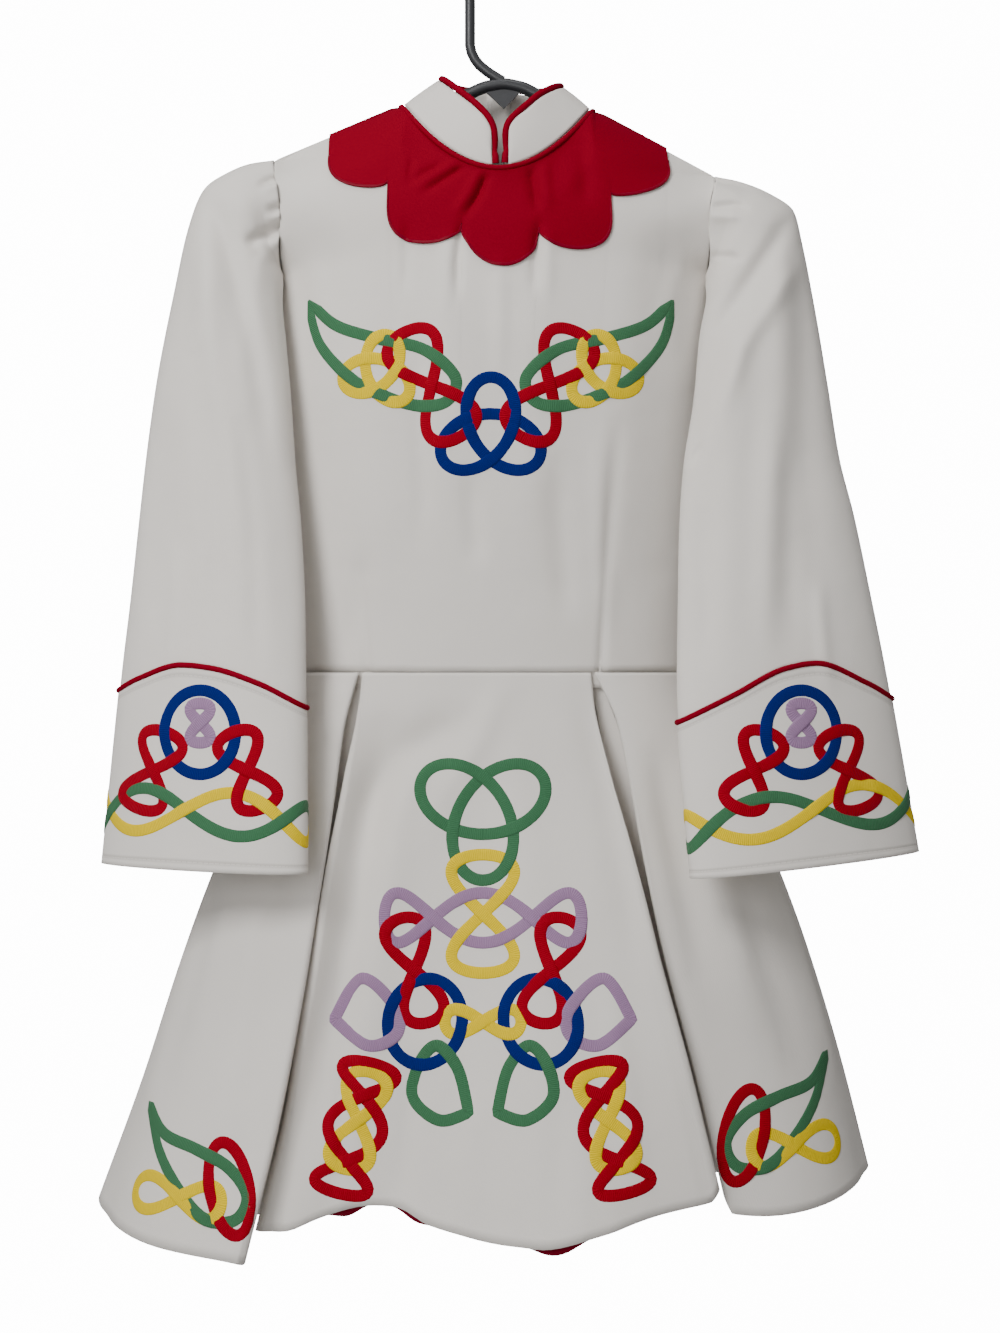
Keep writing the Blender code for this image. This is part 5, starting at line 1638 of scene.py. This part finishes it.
def group(name, inputs, outputs):
    """A shader group with these sockets. Returns its tree, its inputs and its outputs."""
    tree = bpy.data.node_groups.new(name, "ShaderNodeTree")
    for label, kind, value in inputs:
        made = tree.interface.new_socket(label, in_out="INPUT", socket_type=kind)
        if value is not None:
            made.default_value = value
    for label, kind in outputs:
        tree.interface.new_socket(label, in_out="OUTPUT", socket_type=kind)
    return tree, node(tree, "NodeGroupInput").outputs, node(tree, "NodeGroupOutput").inputs


def use(tree, made, **values):
    """A group node with these numbers or linked sockets."""
    found = node(tree, "Group", node_tree=made)
    for key, value in values.items():
        if isinstance(value, bpy.types.NodeSocket):
            link(tree, value, found.inputs[key])
        else:
            found.inputs[key].default_value = value
    return found.outputs


def twill_group():
    """Height of a fine diagonal rib over metres of cloth, broken up by slubs."""
    tree, given, out = group(
        "twill", [("Place", "NodeSocketVector", None), ("Pitch", "NodeSocketFloat", RED_PITCH)],
        [("Height", "NodeSocketFloat"), ("Slub", "NodeSocketFloat")])
    parts = node(tree, "SeparateXYZ")
    link(tree, given["Place"], parts.inputs[0])
    lean = maths(tree, "ADD", parts.outputs[0], maths(tree, "MULTIPLY", parts.outputs[1], 0.55))
    turn = maths(tree, "DIVIDE", lean, given["Pitch"])
    ribs = maths(tree, "SINE", maths(tree, "MULTIPLY", turn, 2 * math.pi))
    grain = node(tree, "TexNoise", noise_dimensions="3D")
    stretch = node(tree, "Mapping")
    link(tree, given["Place"], stretch.inputs["Vector"])
    stretch.inputs["Scale"].default_value = (1100, 420, 1)
    link(tree, stretch.outputs[0], grain.inputs["Vector"])
    grain.inputs["Scale"].default_value = 1.0
    grain.inputs["Detail"].default_value = 2.0
    link(tree, maths(tree, "ADD", maths(tree, "MULTIPLY", ribs, 0.25), grain.outputs[0]),
         out["Height"])
    link(tree, grain.outputs[0], out["Slub"])
    return tree


def stitch_group():
    """A mask of short stitches along v = At, and of the groove that they pull in, which both dents
    the cloth and carries painted shade.
    """
    tree, given, out = group(
        "stitch_row", [("Place", "NodeSocketVector", None), ("At", "NodeSocketFloat", 0.0),
                       ("Half", "NodeSocketFloat", STITCH_HALF)],
        [("Thread", "NodeSocketFloat"), ("Groove", "NodeSocketFloat")])
    parts = node(tree, "SeparateXYZ")
    link(tree, given["Place"], parts.inputs[0])
    away = maths(tree, "ABSOLUTE", maths(tree, "SUBTRACT", parts.outputs[1], given["At"]))
    near = maths(tree, "SUBTRACT", 1.0, maths(tree, "DIVIDE", away, given["Half"]), low=0)
    dash = maths(tree, "PINGPONG", parts.outputs[0], STITCH_LENGTH)
    there = maths(tree, "GREATER_THAN", dash, STITCH_SPACE)
    link(tree, maths(tree, "MULTIPLY", near, there, low=0), out["Thread"])
    wide = maths(tree, "DIVIDE", away, maths(tree, "MULTIPLY", given["Half"], 4.0))
    link(tree, maths(tree, "SUBTRACT", 1.0, wide, low=0), out["Groove"])
    return tree


def base(name, colour, roughness, **extra):
    """A plain material. Returns it, its tree and its surface node."""
    made = bpy.data.materials.new(name)
    made.use_nodes = True
    tree = made.node_tree
    skin = tree.nodes["Principled BSDF"]
    skin.inputs["Base Color"].default_value = (*colour, 1)
    skin.inputs["Roughness"].default_value = roughness
    for key, value in extra.items():
        skin.inputs[key.replace("_", " ")].default_value = value
    return made, tree, skin


def blend_colour(tree, factor, a, b):
    """A mix of two colours, each a tuple or a socket."""
    made = node(tree, "Mix", data_type="RGBA")
    for socket, value in ((made.inputs[0], factor), (made.inputs[6], a), (made.inputs[7], b)):
        if isinstance(value, bpy.types.NodeSocket):
            link(tree, value, socket)
        elif isinstance(value, (int, float)):
            socket.default_value = value
        else:
            socket.default_value = (*value, 1)
    return made.outputs[2]


def bump(tree, height, distance, strength=1.0, under=None):
    """Raises the surface by a height, over the normal that lies under it."""
    made = node(tree, "Bump")
    made.inputs["Distance"].default_value = distance
    made.inputs["Strength"].default_value = strength
    link(tree, height, made.inputs["Height"])
    if under is not None:
        link(tree, under, made.inputs["Normal"])
    return made.outputs[0]


def cloudy(tree, place, scale, detail=3.0):
    made = node(tree, "TexNoise")
    link(tree, place, made.inputs["Vector"])
    made.inputs["Scale"].default_value = scale
    made.inputs["Detail"].default_value = detail
    return made.outputs[0]


def ivory(name, twill, stitch, rows=()):
    """Ivory gaberdine. rows are the places, in metres down the piece, of stitch lines, each with
    painted shade in its groove.
    """
    made, tree, skin = base(name, IVORY, 0.8)
    skin.inputs["Sheen Weight"].default_value = 0.16
    skin.inputs["Sheen Roughness"].default_value = 0.55
    skin.inputs["Sheen Tint"].default_value = (1.0, 0.98, 0.95, 1)
    skin.inputs["Specular IOR Level"].default_value = 0.25
    uv = node(tree, "UVMap", uv_map="cloth").outputs[0]
    solid = node(tree, "TexCoord").outputs["Object"]
    weave = use(tree, twill, Place=uv, Pitch=IVORY_PITCH)
    tone = maths(tree, "MULTIPLY", cloudy(tree, solid, 14.0), 0.5)
    colour = blend_colour(tree, tone, IVORY, IVORY_SHADE)
    height = maths(tree, "MULTIPLY", weave["Height"], RIB_HEIGHT)
    for at in rows:
        row = use(tree, stitch, Place=uv, At=at, Half=STITCH_HALF)
        # Painted shade: each stitch groove darkens the cloth's colour
        colour = blend_colour(tree, maths(tree, "MULTIPLY", row["Groove"], 0.55), colour,
                              IVORY_GROOVE_SHADE)
        colour = blend_colour(tree, row["Thread"], colour, IVORY)
        groove = maths(tree, "MULTIPLY", row["Groove"], GROOVE_DEPTH)
        height = maths(tree, "SUBTRACT", height, groove)
    link(tree, colour, skin.inputs["Base Color"])
    fold = cloudy(tree, solid, 34.0, 2.0)
    soft = bump(tree, maths(tree, "MULTIPLY", fold, 0.0016), 1.0, 0.5)
    link(tree, bump(tree, height, 1.0, 0.6, soft), skin.inputs["Normal"])
    return made


def red(name, colour, twill, roughness=0.8, sheen=0.0):
    """Red cloth or satin with the same weave."""
    made, tree, skin = base(name, colour, roughness)
    skin.inputs["Sheen Weight"].default_value = sheen
    skin.inputs["Sheen Roughness"].default_value = 0.5
    skin.inputs["Sheen Tint"].default_value = (1.0, 0.35, 0.4, 1)
    skin.inputs["Specular IOR Level"].default_value = 0.05
    uv = node(tree, "UVMap", uv_map="cloth").outputs[0]
    weave = use(tree, twill, Place=uv, Pitch=RED_PITCH)
    deep = tuple(c * 0.72 for c in colour)
    link(tree, blend_colour(tree, maths(tree, "MULTIPLY", weave["Slub"], 0.6), colour, deep),
         skin.inputs["Base Color"])
    link(tree, bump(tree, maths(tree, "MULTIPLY", weave["Height"], RIB_HEIGHT), 1.0, 0.6),
         skin.inputs["Normal"])
    return made


def thread_paint(name, colour):
    """Satin stitch: fine threads that lie across each ribbon of embroidery, with painted shade
    that rises and falls with the threads.
    """
    made, tree, skin = base(name, colour, 0.5, Anisotropic=0.75)
    skin.inputs["Specular IOR Level"].default_value = 0.35
    skin.inputs["Specular Tint"].default_value = (*colour, 1)
    link(tree, node(tree, "Tangent", direction_type="UV_MAP", uv_map="cloth").outputs[0],
         skin.inputs["Tangent"])
    uv = node(tree, "UVMap", uv_map="cloth").outputs[0]
    parts = node(tree, "SeparateXYZ")
    link(tree, uv, parts.inputs[0])
    wobble = cloudy(tree, uv, 900.0)
    along = maths(tree, "ADD", parts.outputs[1], maths(tree, "MULTIPLY", wobble, 0.00035))
    ribs = maths(tree, "SINE", maths(tree, "MULTIPLY", along, 2 * math.pi / SILK_PITCH))
    # Painted shade: the colour darkens and lightens with each thread rib; the wobble adds a random
    # tone
    painted_rib_shade = maths(tree, "MULTIPLY", maths(tree, "ADD", ribs, 1.0), 0.18)
    deep = tuple(c * 0.45 for c in colour)
    link(tree, blend_colour(tree, maths(tree, "ADD", painted_rib_shade, maths(tree, "MULTIPLY", wobble, 0.2)),
                            colour, deep), skin.inputs["Base Color"])
    link(tree, bump(tree, maths(tree, "MULTIPLY", ribs, SILK_HEIGHT), 1.0, 0.7),
         skin.inputs["Normal"])
    return made


def plastic_paint():
    """Dark grey plastic, finely grained."""
    made, tree, skin = base("hanger_plastic", (0.022, 0.023, 0.026), 0.42)
    place = node(tree, "TexCoord").outputs["Object"]
    rough = maths(tree, "ADD", 0.34, maths(tree, "MULTIPLY", cloudy(tree, place, 260.0), 0.18))
    link(tree, rough, skin.inputs["Roughness"])
    link(tree, bump(tree, maths(tree, "MULTIPLY", cloudy(tree, place, 700.0), 0.0002), 1.0, 0.3),
         skin.inputs["Normal"])
    return made


def metal_paint():
    """Pale metal, worn unevenly."""
    made, tree, skin = base("zip_brass", (0.74, 0.72, 0.68), 0.32, Metallic=1.0)
    place = node(tree, "TexCoord").outputs["Object"]
    wear = cloudy(tree, place, 900.0)
    link(tree, maths(tree, "ADD", 0.24, maths(tree, "MULTIPLY", wear, 0.2)),
         skin.inputs["Roughness"])
    return made


# ---- stage -------------------------------------------------------------------------
def stage():
    """A bright white floor that curves up into a wall behind the dress."""
    white = bpy.data.materials.new("stage_white")
    white.use_nodes = True
    skin = white.node_tree.nodes["Principled BSDF"]
    skin.inputs["Base Color"].default_value = (0.95, 0.95, 0.95, 1)
    skin.inputs["Roughness"].default_value = 1.0
    skin.inputs["Specular IOR Level"].default_value = 0.0
    skin.inputs["Emission Color"].default_value = (1, 1, 1, 1)
    skin.inputs["Emission Strength"].default_value = BACKDROP_GLOW
    mesh = bmesh.new()
    rows = [[mesh.verts.new((x, y, z)) for x in (-BACKDROP_HALF, BACKDROP_HALF)]
            for y, z in BACKDROP]
    for a, b in zip(rows, rows[1:]):
        mesh.faces.new((a[0], a[1], b[1], b[0]))
    data = bpy.data.meshes.new("backdrop")
    mesh.to_mesh(data)
    mesh.free()
    data.materials.append(white)
    data.shade_smooth()
    floor = bpy.data.objects.new("backdrop", data)
    bpy.context.scene.collection.objects.link(floor)
    floor.visible_diffuse = floor.visible_glossy = False


def lamp(name, at, aim, size, power):
    """A soft box that points at its aim."""
    data = bpy.data.lights.new(name, "AREA")
    data.shape = "RECTANGLE"
    data.size, data.size_y = size
    data.energy = power
    made = bpy.data.objects.new(name, data)
    made.location = at
    made.rotation_euler = (Vector(aim) - Vector(at)).to_track_quat("-Z", "Y").to_euler()
    bpy.context.scene.collection.objects.link(made)


def lights():
    """A white room with the lamps."""
    world = bpy.data.worlds.new("studio")
    world.use_nodes = True
    back = world.node_tree.nodes["Background"]
    back.inputs[0].default_value = (1, 1, 1, 1)
    back.inputs[1].default_value = WORLD_GLOW
    bpy.context.scene.world = world
    for name, at, aim, size, power in LAMPS:
        lamp(name, at, aim, size, power)


def camera():
    """Straight at the front, from far away."""
    data = bpy.data.cameras.new("view")
    data.sensor_fit = "VERTICAL"
    data.angle_y = 2 * math.atan(VIEW_HEIGHT / 2 / VIEW_DISTANCE)
    made = bpy.data.objects.new("view", data)
    made.location = (0, -VIEW_DISTANCE, VIEW_LEVEL)
    made.rotation_euler = (math.radians(90), 0, 0)
    bpy.context.scene.collection.objects.link(made)
    bpy.context.scene.camera = made


# ---- all ---------------------------------------------------------------------------
def embroidery(panels, cuffs, threads):
    """The worked knots: chest, skirt front, both cuffs and the gores' front corners."""
    embroider("chest", surface_of([panels["bodice_front"]]), chest_strands(), threads)
    embroider("skirt", surface_of([panels["skirt_centre_front"]]), skirt_strands(), threads)
    for name, (piece, place) in cuffs.items():
        points = [v.co for v in piece.data.vertices]
        centre = sum(points, Vector()) / len(points) / MM

        def unrolled(p, centre=centre):
            turn = math.atan2((p.y - centre.y) * 2.2, p.x - centre.x)
            return Vector((turn * CUFF_ROUND, p.z))

        embroider("cuff_" + name, surface_of([piece]), cuff_strands(CUFF_KNOTS[name], place),
                  threads, unrolled)
    for name, at, lean, side in GORE_KNOTS:
        embroider("gore_" + name, surface_of([panels["skirt_gore_" + name]]),
                  corner_strands(at, lean, side), threads)


def main():
    twill, stitch = twill_group(), stitch_group()
    plain = ivory("ivory_gaberdine", twill, stitch)
    crimson = red("red_cloth_look", RED, twill)
    satin = red("red_satin", RED_BRIGHT, twill, 0.4, 0.1)
    metal = metal_paint()
    lined = ivory("ivory_cuff", twill, stitch, rows=CUFF_STITCHES)
    threads = {name: thread_paint(name + "_silk", colour) for name, colour in SILKS.items()}
    panels = bodice(plain, crimson)
    seam_stays(plain)
    collar(plain, crimson)
    cuffs = dict(left=sleeve("left", SLEEVE_LEFT, -1, plain, lined, crimson),
                 right=sleeve("right", SLEEVE_RIGHT, 1, plain, lined, crimson))
    panels.update(skirt(plain, satin))
    scallop_edges(panels, satin)
    embroidery(panels, cuffs, threads)
    zipper(plain, metal)
    hanger(plastic_paint())
    for name in ("zip_slider", "zip_tab"):
        obj = bpy.data.objects[name]
        obj.data.materials.clear()
        obj.data.materials.append(metal)
    stage()
    lights()
    camera()


main()
